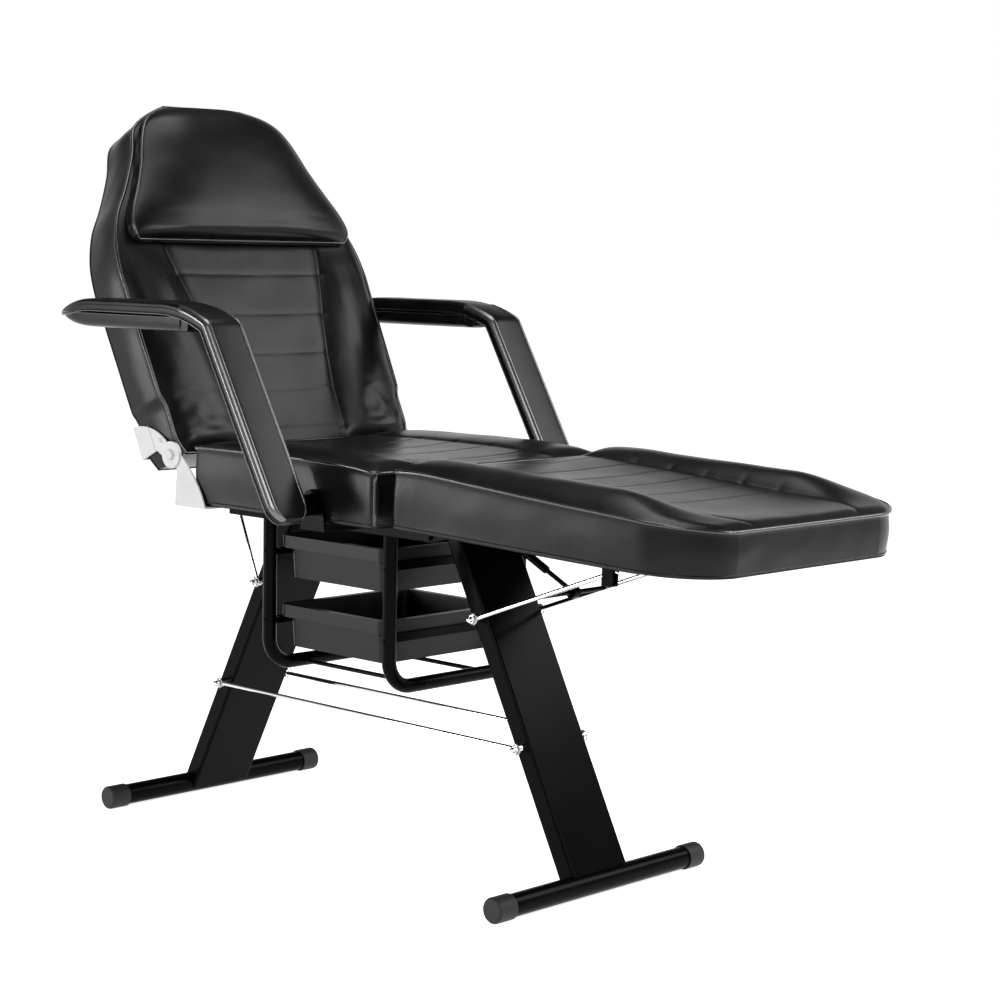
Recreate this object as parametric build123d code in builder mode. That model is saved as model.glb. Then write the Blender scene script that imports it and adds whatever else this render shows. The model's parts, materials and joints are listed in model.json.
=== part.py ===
"""Folding tattoo and salon chair: a padded back, seat and leg rest on two slanted legs.

X runs towards the foot end, Y towards the sitter's left, Z up, with the floor at zero.
Lengths are in millimetres and angles in degrees.
"""
from build123d import *
from math import cos, radians, sin, tan
import os

os.makedirs("parts", exist_ok=True)

# Clearances shared by every sub-part
running_gap = 0.06
push_gap = 0.1
soft_gap = 0.3
side_gap = 0.5
cut_overrun = 5.0

# Feet: two tubes across the chair, each with two rubber caps
rear_foot_reach = 236.0
front_foot_reach = 256.0
foot_length = 516.0
foot_tube_radius = 19.0
foot_tube_wall = 2.0
foot_cap_radius = 21.5
foot_cap_length = 40.0
foot_cap_end_wall = 4.0
foot_cap_round = 5.0
foot_sole_cut = 0.5

# Legs: flat oval tubes leaning towards each other
leg_lean = 27.05
leg_root_inset = 6.0
leg_width = 136.0
leg_thickness = 34.0
leg_wall = 2.0
leg_edge_round = 5.0
leg_top_z = 577.0

# Seat frame: two rails and two crossbars of square tube
rail_size = 25.0
rail_wall = 2.0
rail_spacing = 320.0
rail_rear_inset = 14.0
rail_front_overrun = 28.0
crossbar_depth = 40.0

# Seat
seat_rear_x = -395.5
seat_length = 511.0
bed_half_width = 281.0
seat_thickness = 107.0
seat_front_corner = 30.0
seat_rear_corner = 12.0
cushion_drop = 4.0
cushion_tuck = 3.0
board_thickness = 15.0
board_inset = 18.0
bolster_rise = 15.0
dish_depth = 5.0
panel_sink = 2.0
channel_width = 4.0
channel_depth = 3.0

# Backrest, measured up along it and forward from it at its hinge
back_lean = 26.0
back_hinge_gap = 11.0
back_hinge_drop = 25.0
back_bottom = -6.0
back_top = 705.0
back_overhang = 17.0
back_front = 28.0
back_thickness = 100.0
back_shoulder = 640.0
back_shoulder_width_share = 0.559
back_top_width_share = 0.258
back_crown_width_share = 0.378
back_crown_height_share = 0.68
back_board_width_share = 0.85
back_board_hip_share = 1.5
back_board_hip_height_share = 4.0
back_board_shoulder_share = 5.0
back_board_crown_share = 0.762

# Head pillow
pillow_bottom = 403.0
pillow_top = 680.0
pillow_inset = 54.0
pillow_thickness = 50.0
pillow_edge_share = 0.62

# Hinge plates between seat and backrest
plate_thickness = 3.0
plate_round = 24.0
plate_top_height = 84.0
plate_heel_height = 21.0
plate_heel_depth = 32.0
plate_flange_width = 70.0
plate_bulge = 9.0
plate_foot_inset = 9.0
plate_foot_length = 84.0
plate_waist_drop = 26.0
plate_waist_share = 0.77
hinge_bolt_radius = 5.0
hinge_head_radius = 9.0
hinge_head_height = 5.0

# Leg rest, measured along it from its hinge
leg_rest_tilt = 1.85
leg_rest_start = 18.0
leg_rest_end = 644.0
leg_rest_hinge_inset = 10.0
leg_rest_underside = 22.0
leg_rest_thickness = 101.0
leg_rest_corner = 150.0
leg_rest_rear_corner = 14.0
rest_ear_radius = 12.0
rest_ear_base_length = 70.0

# Rods, spindles and nuts
rod_radius = 4.0
rod_spacing = 160.0
eye_radius = 9.0
eye_thickness = 6.0
spacer_radius = 7.5
nut_flats = 13.0
nut_hex_height = 5.0
nut_dome_radius = 5.0
tie_rod_z = 236.0
leg_stay_z = 442.0
leg_stay_angle = 20.26
leg_stay_length = 335.0
leg_stay_cross = 160.0
back_stay_z = 441.0
back_stay_rod_length = 222.0
back_stay_sleeve_length = 215.0
back_stay_sleeve_radius = 10.0
back_stay_bore_radius = 8.0
back_stay_pin_height = 180.0
back_stay_pin_depth = 14.0
guide_reach = 316.0
guide_strip_width = 20.0
guide_side_gap = 2.0
guide_room_below = 12.5
guide_foot_width = 12.0

# Strut under the leg rest
strut_barrel_radius = 7.0
strut_barrel_length = 140.0
strut_rod_length = 170.0
strut_ring_clear = 3.0
strut_ring_wall = 3.5
strut_pin_reach = 12.0
strut_ear_thickness = 3.0

# Armrests
arm_gap = 7.0
arm_width = 78.0
arm_thickness = 24.0
arm_top_z = 962.0
arm_elbow_round = 75.0
arm_limb_lean = 30.3
arm_pad_front_reach = 113.0
arm_pivot_reach = 365.0
arm_pivot_z = 633.0
arm_foot = 24.0
arm_tip_length_share = 3.4
arm_tip_drop_share = 1.5
arm_tip_arc_share = 0.3
arm_tip_arc_drop_share = 0.36
arm_tip_under_share = 0.33
arm_edge_round = 3.0
arm_end_round = 11.0
arm_tip_round = 6.0
arm_pad_inset_share = 0.9
arm_pad_drop = 27.0
arm_pad_length = 353.0
arm_pad_nose_share = 0.2
arm_pad_nose_drop_share = 0.4
arm_end_block_depth = 17.0
arm_bar_inset_share = 2.0
arm_bar_gap = 0.2
arm_tube_radius = 8.5
arm_bar_width = 50.0
arm_bar_thickness = 6.0
arm_boss_radius = 18.0
arm_bracket_width = 60.0
arm_bracket_thickness = 4.0

# Tray rack
rack_tube_radius = 12.5
rack_tube_wall = 1.5
rack_bend = 50.0
rack_rear_inset = 113.0
rack_front_inset = 88.0
rack_bottom_z = 314.0
rack_rod_spacing = 170.0
runner_lip = 14.0
runner_thickness = 2.0
tray_top_z = 550.0
tray_pitch = 124.0
tray_depth = 76.0
tray_rim = 22.0
tray_wall = 2.5
tray_lip = 11.0
tray_half_width = 155.0
tray_taper = 4.0
tray_corner = 18.0
tray_gap = 6.0

# Release handle under the leg rest
handle_rear = 140.0
handle_reach = 118.0
handle_width = 58.0
handle_strip = 9.0
handle_thickness = 4.0
handle_drop = 34.0
handle_bend_share = 1.5
handle_pivot_radius = 3.0

# Sizes that follow from the ones above
foot_axis_z = foot_cap_radius - foot_sole_cut
seat_front_x = seat_rear_x + seat_length
rear_foot_x = seat_rear_x - rear_foot_reach
front_foot_x = seat_front_x + front_foot_reach
rail_rear_x = seat_rear_x + rail_rear_inset
rail_front_x = seat_front_x + rail_front_overrun
back_half_width = bed_half_width + back_overhang
arm_tip_x = seat_rear_x + arm_pad_front_reach - arm_pad_length
rail_y = rail_spacing / 2
frame_top_z = leg_top_z + rail_size
rod_y = rod_spacing / 2
seat_underside_z = frame_top_z + cushion_drop
seat_top_z = seat_underside_z + seat_thickness
hinge_x = seat_rear_x - back_hinge_gap
hinge_z = seat_top_z - back_hinge_drop
leg_hinge_x = rail_front_x - leg_rest_hinge_inset
leg_hinge_z = leg_top_z + rail_size / 2
seat_plate_y = bed_half_width + soft_gap
back_plate_y = seat_plate_y + plate_thickness + soft_gap
eye_y = rod_y - eye_thickness / 2
nut_y = rod_y + eye_thickness / 2 + soft_gap
rod_start = spacer_radius + soft_gap


def rear_leg_x(z):
    """X of the rear leg's centre line at a height."""
    return rear_foot_x + leg_root_inset + (z - foot_axis_z) * tan(radians(leg_lean))


def front_leg_x(z):
    """X of the front leg's centre line at a height."""
    return front_foot_x - leg_root_inset - (z - foot_axis_z) * tan(radians(leg_lean))


def side_plane(outer_y):
    """A plane seen from the right, whose extrusions run inward from outer_y."""
    return Plane.XZ.offset(-outer_y)


def save_pair(piece, name):
    """Write a piece of the sitter's left side, and its mirror image on the right."""
    with BuildPart() as right:
        mirror(piece.part, about=Plane.XZ)
    piece.part.label = name + "_left"
    export_step(piece.part, "parts/" + name + "_left.step")
    right.part.label = name + "_right"
    export_step(right.part, "parts/" + name + "_right.step")


def between(shares, values, share):
    """The value at a share of the length, on straight lines between table rows."""
    for low, high, start, end in zip(shares, shares[1:], values, values[1:]):
        if share <= high:
            return start + (end - start) * (share - low) / (high - low)
    return values[-1]


def cushion_profile(half_width, thickness, rise, panel):
    """One upholstered cross-section: bulged sides, two bolsters and a dished middle."""
    base = half_width - cushion_tuck
    inner = thickness - panel_sink
    with BuildLine() as outline:
        Line((-base, 0), (base, 0))
        ThreePointArc((base, 0), (half_width, thickness / 2), (base, thickness))
        ThreePointArc((base, thickness), ((base + panel) / 2, thickness + rise), (panel, inner))
        ThreePointArc((panel, inner), (0, inner - dish_depth), (-panel, inner))
        ThreePointArc((-panel, inner), (-(base + panel) / 2, thickness + rise), (-base, thickness))
        ThreePointArc((-base, thickness), (-half_width, thickness / 2), (-base, 0))
    make_face(outline.edges())


def channel_profile(thickness, panel):
    """The space over the dished middle, lowered by one sewn channel's depth."""
    edge = thickness - panel_sink
    over = edge + channel_depth
    with BuildLine() as outline:
        ThreePointArc((-panel, edge), (0, edge - dish_depth - channel_depth), (panel, edge))
        Polyline((panel, edge), (panel, over), (-panel, over), (-panel, edge))
    make_face(outline.edges())


# Foot tubes and their rubber caps
cap_mouth_y = foot_length / 2 - foot_cap_length
tube_end_y = foot_length / 2 - foot_cap_end_wall
for end, foot_x in (("rear", rear_foot_x), ("front", front_foot_x)):
    with BuildPart() as foot_tube:
        with BuildSketch(Plane.XZ):
            with Locations((foot_x, foot_axis_z)):
                Circle(foot_tube_radius)
                Circle(foot_tube_radius - foot_tube_wall, mode=Mode.SUBTRACT)
        extrude(amount=tube_end_y, both=True)
    foot_tube.part.label = end + "_foot_tube"
    export_step(foot_tube.part, "parts/" + end + "_foot_tube.step")

    with BuildPart() as foot_caps:
        with BuildSketch(side_plane(foot_length / 2)):
            with Locations((foot_x, foot_axis_z)):
                Circle(foot_cap_radius)
        extrude(amount=foot_cap_length)
        fillet(foot_caps.faces().sort_by(Axis.Y)[-1].edges(), foot_cap_round)
        with BuildSketch(side_plane(tube_end_y)):
            with Locations((foot_x, foot_axis_z)):
                Circle(foot_tube_radius + push_gap)
        extrude(amount=foot_cap_length, mode=Mode.SUBTRACT)
        split(bisect_by=Plane.XY, keep=Keep.TOP)
        mirror(about=Plane.XZ)
    foot_caps.part.label = end + "_foot_caps"
    export_step(foot_caps.part, "parts/" + end + "_foot_caps.step")

# Legs: flat oval tubes, coped over the foot tubes and cut level under the seat frame
spindle_places = {"rear": (tie_rod_z, back_stay_z), "front": (tie_rod_z, leg_stay_z)}
leg_run = (leg_top_z - foot_axis_z) / cos(radians(leg_lean)) + leg_thickness
leg_places = (("rear", 1, rear_foot_x, rear_leg_x), ("front", -1, front_foot_x, front_leg_x))
for end, way, foot_x, leg_x in leg_places:
    leg_plane = Plane(
        origin=(leg_x(foot_axis_z), 0, foot_axis_z),
        x_dir=(0, 1, 0),
        z_dir=(way * sin(radians(leg_lean)), 0, cos(radians(leg_lean))),
    )
    with BuildPart() as leg:
        with BuildSketch(leg_plane):
            RectangleRounded(leg_width, leg_thickness, leg_edge_round)
            RectangleRounded(
                leg_width - 2 * leg_wall,
                leg_thickness - 2 * leg_wall,
                leg_edge_round - leg_wall,
                mode=Mode.SUBTRACT,
            )
        extrude(amount=leg_run)
        split(bisect_by=Plane.XY.offset(leg_top_z), keep=Keep.BOTTOM)
        with BuildSketch(Plane.XZ):
            with Locations((foot_x, foot_axis_z)):
                Circle(foot_tube_radius)
            for spindle_z in spindle_places[end]:
                with Locations((leg_x(spindle_z), spindle_z)):
                    Circle(rod_radius + push_gap)
        extrude(amount=leg_width, both=True, mode=Mode.SUBTRACT)
    leg.part.label = end + "_leg"
    export_step(leg.part, "parts/" + end + "_leg.step")

# Spindles through the legs, with a spacer tube each side that keeps the rods off the leg
tie_rear = (rear_leg_x(tie_rod_z), tie_rod_z)
tie_front = (front_leg_x(tie_rod_z), tie_rod_z)
back_stay_foot = (rear_leg_x(back_stay_z), back_stay_z)
leg_stay_foot = (front_leg_x(leg_stay_z), leg_stay_z)
spindle_axes = (tie_rear, tie_front, back_stay_foot, leg_stay_foot)
with BuildPart() as rod_spindles:
    with BuildSketch(Plane.XZ):
        with Locations(*spindle_axes):
            Circle(rod_radius)
    extrude(amount=nut_y + nut_hex_height, both=True)
    for spacer_plane in (side_plane(eye_y - soft_gap), side_plane(-leg_width / 2)):
        with BuildSketch(spacer_plane):
            with Locations(*spindle_axes):
                Circle(spacer_radius)
        extrude(amount=eye_y - soft_gap - leg_width / 2)
rod_spindles.part.label = "rod_spindles"
export_step(rod_spindles.part, "parts/rod_spindles.step")

# Acorn nuts on the spindles' ends
nut_dome_z = 2 * nut_hex_height
with BuildPart() as acorn_nut:
    with BuildSketch(Plane.XZ):
        RegularPolygon(nut_flats / 2, 6, major_radius=False)
    extrude(amount=-nut_hex_height)
    with BuildSketch(Plane.XY):
        with BuildLine():
            Polyline((0, nut_hex_height), (nut_dome_radius, nut_hex_height), (nut_dome_radius, nut_dome_z))
            RadiusArc((nut_dome_radius, nut_dome_z), (0, nut_dome_z + nut_dome_radius), -nut_dome_radius)
            Line((0, nut_dome_z + nut_dome_radius), (0, nut_hex_height))
        make_face()
    revolve(axis=Axis.Y)
    with BuildSketch(Plane.XZ):
        Circle(rod_radius + push_gap)
    extrude(amount=-(nut_hex_height + push_gap), mode=Mode.SUBTRACT)

with BuildPart() as acorn_nuts:
    for place_x, place_z in spindle_axes:
        with Locations((place_x, nut_y, place_z)):
            add(acorn_nut.part)
    mirror(about=Plane.XZ)
acorn_nuts.part.label = "acorn_nuts"
export_step(acorn_nuts.part, "parts/acorn_nuts.step")


def rod_with_eye(start, angle, length):
    """A round rod from a spindle, with a flattened eye; built on the left side."""
    rod_plane = Plane(
        origin=(start[0], rod_y, start[1]),
        x_dir=(0, 1, 0),
        z_dir=(cos(radians(angle)), 0, sin(radians(angle))),
    )
    with BuildPart() as rod:
        with BuildSketch(rod_plane.offset(rod_start)):
            Circle(rod_radius)
        extrude(amount=length - rod_start)
        fillet(rod.faces().sort_by(Axis(rod_plane.origin, rod_plane.z_dir))[-1].edges(), rod_radius / 2)
        with BuildSketch(side_plane(rod_y + eye_thickness / 2)):
            with Locations(start):
                Circle(eye_radius)
        extrude(amount=eye_thickness)
        with BuildSketch(side_plane(rod_y + eye_thickness)):
            with Locations(start):
                Circle(rod_radius + running_gap)
        extrude(amount=2 * eye_thickness, mode=Mode.SUBTRACT)
    return rod


# Tie rods between the two legs, an eye at each end
with BuildPart() as tie_rod:
    with BuildSketch(Plane.YZ.offset(tie_rear[0] + rod_start)):
        with Locations((rod_y, tie_rod_z)):
            Circle(rod_radius)
    extrude(amount=tie_front[0] - tie_rear[0] - 2 * rod_start)
    with BuildSketch(side_plane(rod_y + eye_thickness / 2)):
        with Locations(tie_rear, tie_front):
            Circle(eye_radius)
    extrude(amount=eye_thickness)
    with BuildSketch(side_plane(rod_y + eye_thickness)):
        with Locations(tie_rear, tie_front):
            Circle(rod_radius + running_gap)
    extrude(amount=2 * eye_thickness, mode=Mode.SUBTRACT)
save_pair(tie_rod, "tie_rod")

# Seat frame rails and crossbars
with BuildPart() as seat_rail:
    with BuildSketch(Plane.YZ.offset(rail_rear_x)):
        with Locations((rail_y, leg_top_z + rail_size / 2)):
            RectangleRounded(rail_size, rail_size, rail_wall)
            Rectangle(rail_size - 2 * rail_wall, rail_size - 2 * rail_wall, mode=Mode.SUBTRACT)
    extrude(amount=rail_front_x - rail_rear_x)
    with BuildSketch(Plane.XZ):
        with Locations((leg_hinge_x, leg_hinge_z)):
            Circle(hinge_bolt_radius + push_gap)
    extrude(amount=-rail_spacing, mode=Mode.SUBTRACT)
save_pair(seat_rail, "seat_rail")

crossbar_half = rail_y - rail_size / 2
for end, crossbar_x in (("rear", rear_leg_x(leg_top_z)), ("front", front_leg_x(leg_top_z))):
    with BuildPart() as crossbar:
        with BuildSketch(Plane.XZ):
            with Locations((crossbar_x, leg_top_z + rail_size / 2)):
                RectangleRounded(crossbar_depth, rail_size, rail_wall)
                Rectangle(crossbar_depth - 2 * rail_wall, rail_size - 2 * rail_wall, mode=Mode.SUBTRACT)
        extrude(amount=crossbar_half, both=True)
    crossbar.part.label = "seat_crossbar_" + end
    export_step(crossbar.part, "parts/seat_crossbar_" + end + ".step")

# Strut bracket on the front crossbar: two ears and the pin that the strut turns on
crossbar_face_x = front_leg_x(leg_top_z) + crossbar_depth / 2
strut_x = crossbar_face_x + strut_pin_reach
ear_inner = strut_barrel_radius + side_gap
ear_outer = ear_inner + strut_ear_thickness
with BuildPart() as strut_bracket:
    with BuildSketch(side_plane(ear_outer)):
        with BuildLine():
            Polyline(
                (strut_x, leg_hinge_z + eye_radius),
                (crossbar_face_x, leg_hinge_z + eye_radius),
                (crossbar_face_x, leg_hinge_z - eye_radius),
                (strut_x, leg_hinge_z - eye_radius),
            )
            ThreePointArc(
                (strut_x, leg_hinge_z - eye_radius),
                (strut_x + eye_radius, leg_hinge_z),
                (strut_x, leg_hinge_z + eye_radius),
            )
        make_face()
    extrude(amount=strut_ear_thickness)
    mirror(about=Plane.XZ)
    with BuildSketch(Plane.XZ):
        with Locations((strut_x, leg_hinge_z)):
            Circle(rod_radius)
    extrude(amount=ear_outer + strut_ear_thickness, both=True)
strut_bracket.part.label = "strut_bracket"
export_step(strut_bracket.part, "parts/strut_bracket.step")

# Seat board and cushion
seat_mid_x = seat_rear_x + seat_length / 2
with BuildPart() as seat_board:
    with BuildSketch(Plane.XY.offset(frame_top_z)):
        with Locations((seat_mid_x, 0)):
            RectangleRounded(
                seat_length - 2 * board_inset, 2 * (bed_half_width - board_inset), seat_front_corner
            )
    extrude(amount=board_thickness)
seat_board.part.label = "seat_board"
export_step(seat_board.part, "parts/seat_board.step")

seat_station_shares = (0.0, 0.15, 0.4, 0.64, 0.88, 1.0)
seat_width_shares = (1.0, 0.997, 0.993, 0.993, 0.997, 1.0)
seat_height_shares = (0.98, 1.0, 1.0, 1.0, 0.965, 0.905)
seat_rise_shares = (0.3, 0.8, 1.0, 1.0, 0.8, 0.3)
seat_panel_shares = (0.42, 0.45, 0.5, 0.52, 0.54, 0.56)
seat_channel_shares = (0.36, 0.53, 0.70, 0.87)


def seat_section(share):
    """A cross-section plane of the seat cushion, X across and Y up."""
    station_x = seat_rear_x + seat_length * share
    return Plane(origin=(station_x, 0, seat_underside_z), x_dir=(0, 1, 0), z_dir=(1, 0, 0))


with BuildPart() as seat_cushion:
    for share, wide, tall, rise, panel in zip(
        seat_station_shares, seat_width_shares, seat_height_shares, seat_rise_shares, seat_panel_shares
    ):
        with BuildSketch(seat_section(share)):
            cushion_profile(
                bed_half_width * wide, seat_thickness * tall, bolster_rise * rise, bed_half_width * panel
            )
    loft()
    with BuildSketch(Plane.XY.offset(frame_top_z)) as seat_plan:
        with Locations((seat_mid_x, 0)):
            Rectangle(seat_length, 2 * bed_half_width)
        fillet(seat_plan.vertices().group_by(Axis.X)[-1], seat_front_corner)
        fillet(seat_plan.vertices().group_by(Axis.X)[0], seat_rear_corner)
    extrude(amount=2 * seat_thickness, mode=Mode.INTERSECT)
    for share in seat_channel_shares:
        with BuildSketch(seat_section(share)):
            channel_profile(
                seat_thickness * between(seat_station_shares, seat_height_shares, share),
                bed_half_width * between(seat_station_shares, seat_panel_shares, share),
            )
        extrude(amount=channel_width / 2, both=True, mode=Mode.SUBTRACT)
    with BuildSketch(Plane.XY.offset(frame_top_z)):
        with Locations((seat_mid_x, 0)):
            RectangleRounded(
                seat_length - 2 * board_inset + 2 * soft_gap,
                2 * (bed_half_width - board_inset + soft_gap),
                seat_front_corner + soft_gap,
            )
    extrude(amount=board_thickness + soft_gap, mode=Mode.SUBTRACT)
    with BuildSketch(Plane.XZ):
        with Locations((hinge_x, hinge_z)):
            Circle(back_front + cushion_drop + cushion_tuck)
            with Locations((back_front / 2, back_front)):
                Rectangle(back_front + 2 * cushion_drop, 2 * back_front)
    extrude(amount=back_half_width, both=True, mode=Mode.SUBTRACT)
seat_cushion.part.label = "seat_cushion"
export_step(seat_cushion.part, "parts/seat_cushion.step")

# Backrest frame of reference: up along it, forward from it, at its hinge
back_up = Vector(-sin(radians(back_lean)), 0, cos(radians(back_lean)))
back_out = Vector(cos(radians(back_lean)), 0, sin(radians(back_lean)))
back_hinge = Vector(hinge_x, 0, hinge_z)
back_rear = back_front - back_thickness
back_board_rear = back_rear - cushion_drop


def back_section(up, out):
    """A cross-section plane of the backrest, X across and Y forward."""
    return Plane(origin=back_hinge + back_up * up + back_out * out, x_dir=(0, -1, 0), z_dir=back_up)


def back_sheet(out):
    """A plane parallel to the backrest's board, X across and Y up along it."""
    return Plane(origin=back_hinge + back_out * out, x_dir=(0, 1, 0), z_dir=back_out)


def back_side(outer_y):
    """The backrest seen from its side, X forward and Y up along it, extruding inward."""
    return Plane(origin=back_hinge + Vector(0, outer_y, 0), x_dir=back_out, z_dir=(0, -1, 0))


back_length = back_top - back_bottom
back_station_shares = (0.0, 0.065, 0.16, 0.32, 0.43, 0.50, 0.574, 0.658, 0.729, 0.834, 0.909, 1.0)
back_width_shares = (0.906, 0.965, 0.978, 0.987, 0.996, 1.0, 0.973, 0.893, 0.782, 0.640, 0.568, 0.40)
back_rise_shares = (0.1, 0.75, 1.0, 1.0, 1.0, 0.7, 0.05, 0.03, 0.03, 0.03, 0.03, 0.03)
back_panel_shares = (0.396, 0.396, 0.41, 0.48, 0.547, 0.59, 0.62, 0.60, 0.54, 0.44, 0.34, 0.24)
back_thick_shares = (0.97, 1.0, 1.0, 1.0, 1.0, 1.0, 1.0, 1.0, 1.0, 0.98, 0.95, 0.88)
back_channel_shares = (0.049, 0.159, 0.262, 0.374, 0.488)
back_shoulder_half_width = back_half_width * back_shoulder_width_share
back_top_half_run = back_half_width * back_top_width_share
board_points = (
    (back_half_width * back_board_width_share, back_bottom + board_inset),
    (back_half_width - board_inset * back_board_hip_share, board_inset * back_board_hip_height_share),
    (back_half_width - board_inset, pillow_bottom),
    (back_half_width * back_board_crown_share, pillow_bottom + board_inset * back_board_shoulder_share),
    (back_shoulder_half_width - board_inset, back_shoulder - board_inset / 2),
    (back_top_half_run, back_top - board_inset),
)


def back_board_outline(grow):
    """The plywood board's outline, on the plane of the board."""
    right_points = [(x + grow, y) for x, y in board_points]
    left_points = [(-x, y) for x, y in reversed(right_points)]
    first_up = right_points[0][1] - grow
    last_up = right_points[-1][1] + grow
    right_points[0] = (right_points[0][0], first_up)
    left_points[-1] = (left_points[-1][0], first_up)
    right_points[-1] = (right_points[-1][0], last_up)
    left_points[0] = (left_points[0][0], last_up)
    with BuildLine() as outline:
        Polyline(*right_points, *left_points, close=True)
    make_face(outline.edges())


with BuildPart() as back_board:
    with BuildSketch(back_sheet(back_board_rear)):
        back_board_outline(0)
    extrude(amount=board_thickness)
back_board.part.label = "back_board"
export_step(back_board.part, "parts/back_board.step")

# Steel hinge plates, a fixed one on the seat and a turning one on the backrest
plate_rear_out = back_board_rear - plate_thickness
back_plate_outer = back_plate_y + plate_thickness


def back_plate_outline(grow):
    """The turning plate's outline from the side, grown for the cushion's pocket."""
    rear = plate_rear_out - grow
    top = plate_top_height + grow
    heel = plate_heel_height - grow
    nose = plate_round + grow
    with BuildLine() as outline:
        Polyline((0, nose), (0, -nose), (-plate_heel_depth, heel), (rear, heel), (rear, top))
        ThreePointArc(
            (rear, top), (rear / 2 + plate_bulge + grow, top / 2 + nose / 2 + plate_bulge), (0, nose)
        )
    make_face(outline.edges())
    Circle(nose)


with BuildPart() as back_hinge_plate:
    with BuildSketch(back_side(back_plate_outer)):
        back_plate_outline(0)
    extrude(amount=plate_thickness)
    with BuildSketch(back_side(back_plate_outer)):
        with BuildLine():
            Polyline(
                (plate_rear_out, plate_heel_height),
                (plate_rear_out, plate_top_height),
                (back_board_rear, plate_top_height),
                (back_board_rear, plate_heel_height),
                close=True,
            )
        make_face()
    extrude(amount=plate_flange_width)
    with BuildSketch(back_side(back_plate_outer + cut_overrun)):
        Circle(hinge_bolt_radius + running_gap)
    extrude(amount=2 * cut_overrun, mode=Mode.SUBTRACT)
save_pair(back_hinge_plate, "back_hinge_plate")

plate_foot_z = frame_top_z - plate_thickness
plate_foot_rear_x = hinge_x + plate_foot_inset
plate_foot_front_x = plate_foot_rear_x + plate_foot_length
plate_waist_x = hinge_x + (plate_foot_front_x - hinge_x) * plate_waist_share
with BuildPart() as seat_hinge_plate:
    with BuildSketch(side_plane(seat_plate_y + plate_thickness)):
        with BuildLine():
            Polyline(
                (hinge_x + plate_round, hinge_z),
                (hinge_x, hinge_z),
                (plate_foot_rear_x + back_hinge_gap / 2, hinge_z - plate_waist_drop),
                (plate_foot_rear_x, plate_foot_z),
                (plate_foot_front_x, plate_foot_z),
            )
            ThreePointArc(
                (plate_foot_front_x, plate_foot_z),
                (plate_waist_x, (hinge_z + plate_foot_z) / 2 - cushion_drop),
                (hinge_x + plate_round, hinge_z),
            )
        make_face()
        with Locations((hinge_x, hinge_z)):
            Circle(plate_round)
    extrude(amount=plate_thickness)
    with BuildSketch(Plane.XY.offset(plate_foot_z)):
        with BuildLine():
            Polyline(
                (rail_rear_x, rail_y + rail_size / 2),
                (plate_foot_front_x, rail_y + rail_size / 2),
                (plate_foot_front_x, seat_plate_y + plate_thickness),
                (rail_rear_x, seat_plate_y + plate_thickness),
                close=True,
            )
        make_face()
    extrude(amount=plate_thickness)
    with BuildSketch(side_plane(seat_plate_y + cut_overrun)):
        with Locations((hinge_x, hinge_z)):
            Circle(hinge_bolt_radius)
    extrude(amount=2 * cut_overrun, mode=Mode.SUBTRACT)
save_pair(seat_hinge_plate, "seat_hinge_plate")

with BuildPart() as hinge_bolts:
    with BuildSketch(side_plane(back_plate_outer + soft_gap + hinge_head_height)):
        with Locations((hinge_x, hinge_z)):
            Circle(hinge_head_radius)
    extrude(amount=hinge_head_height)
    fillet(hinge_bolts.faces().sort_by(Axis.Y)[-1].edges(), hinge_head_height / 2)
    with BuildSketch(side_plane(back_plate_outer + soft_gap)):
        with Locations((hinge_x, hinge_z)):
            Circle(hinge_bolt_radius)
    extrude(amount=back_plate_outer + soft_gap - seat_plate_y)
    mirror(about=Plane.XZ)
hinge_bolts.part.label = "back_hinge_bolts"
export_step(hinge_bolts.part, "parts/back_hinge_bolts.step")

# Backrest cushion
back_crown = back_shoulder + (back_top - back_shoulder) * back_crown_height_share
with BuildPart() as back_cushion:
    for share, wide, tall, rise, panel in zip(
        back_station_shares, back_width_shares, back_thick_shares, back_rise_shares, back_panel_shares
    ):
        with BuildSketch(back_section(back_bottom + back_length * share, back_rear)):
            cushion_profile(
                back_half_width * wide, back_thickness * tall, bolster_rise * rise, back_half_width * panel
            )
    loft()
    with BuildSketch(back_sheet(back_rear - bolster_rise)) as crown_cut:
        with BuildLine():
            ThreePointArc(
                (back_top_half_run, back_top),
                (back_half_width * back_crown_width_share, back_crown),
                (back_shoulder_half_width, back_shoulder),
            )
            Polyline(
                (back_shoulder_half_width, back_shoulder),
                (back_half_width, back_shoulder),
                (back_half_width, back_top + cut_overrun),
                (back_top_half_run, back_top + cut_overrun),
                (back_top_half_run, back_top),
            )
        make_face()
        mirror(about=Plane.YZ)
    extrude(amount=2 * back_thickness, mode=Mode.SUBTRACT)
    for share in back_channel_shares:
        with BuildSketch(back_section(back_bottom + back_length * share, back_rear)):
            channel_profile(
                back_thickness, back_half_width * between(back_station_shares, back_panel_shares, share)
            )
        extrude(amount=channel_width / 2, both=True, mode=Mode.SUBTRACT)
    with BuildSketch(back_sheet(back_board_rear)):
        back_board_outline(soft_gap)
    extrude(amount=board_thickness + soft_gap, mode=Mode.SUBTRACT)
    for pocket_y, grow in ((back_plate_y - soft_gap, soft_gap), (seat_plate_y - soft_gap, None)):
        for pocket_plane in (back_side(back_half_width + cut_overrun), back_side(-pocket_y)):
            with BuildSketch(pocket_plane):
                if grow is None:
                    Circle(plate_round + soft_gap)
                else:
                    back_plate_outline(grow)
            extrude(amount=back_half_width + cut_overrun - pocket_y, mode=Mode.SUBTRACT)
back_cushion.part.label = "back_cushion"
export_step(back_cushion.part, "parts/back_cushion.step")

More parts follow.
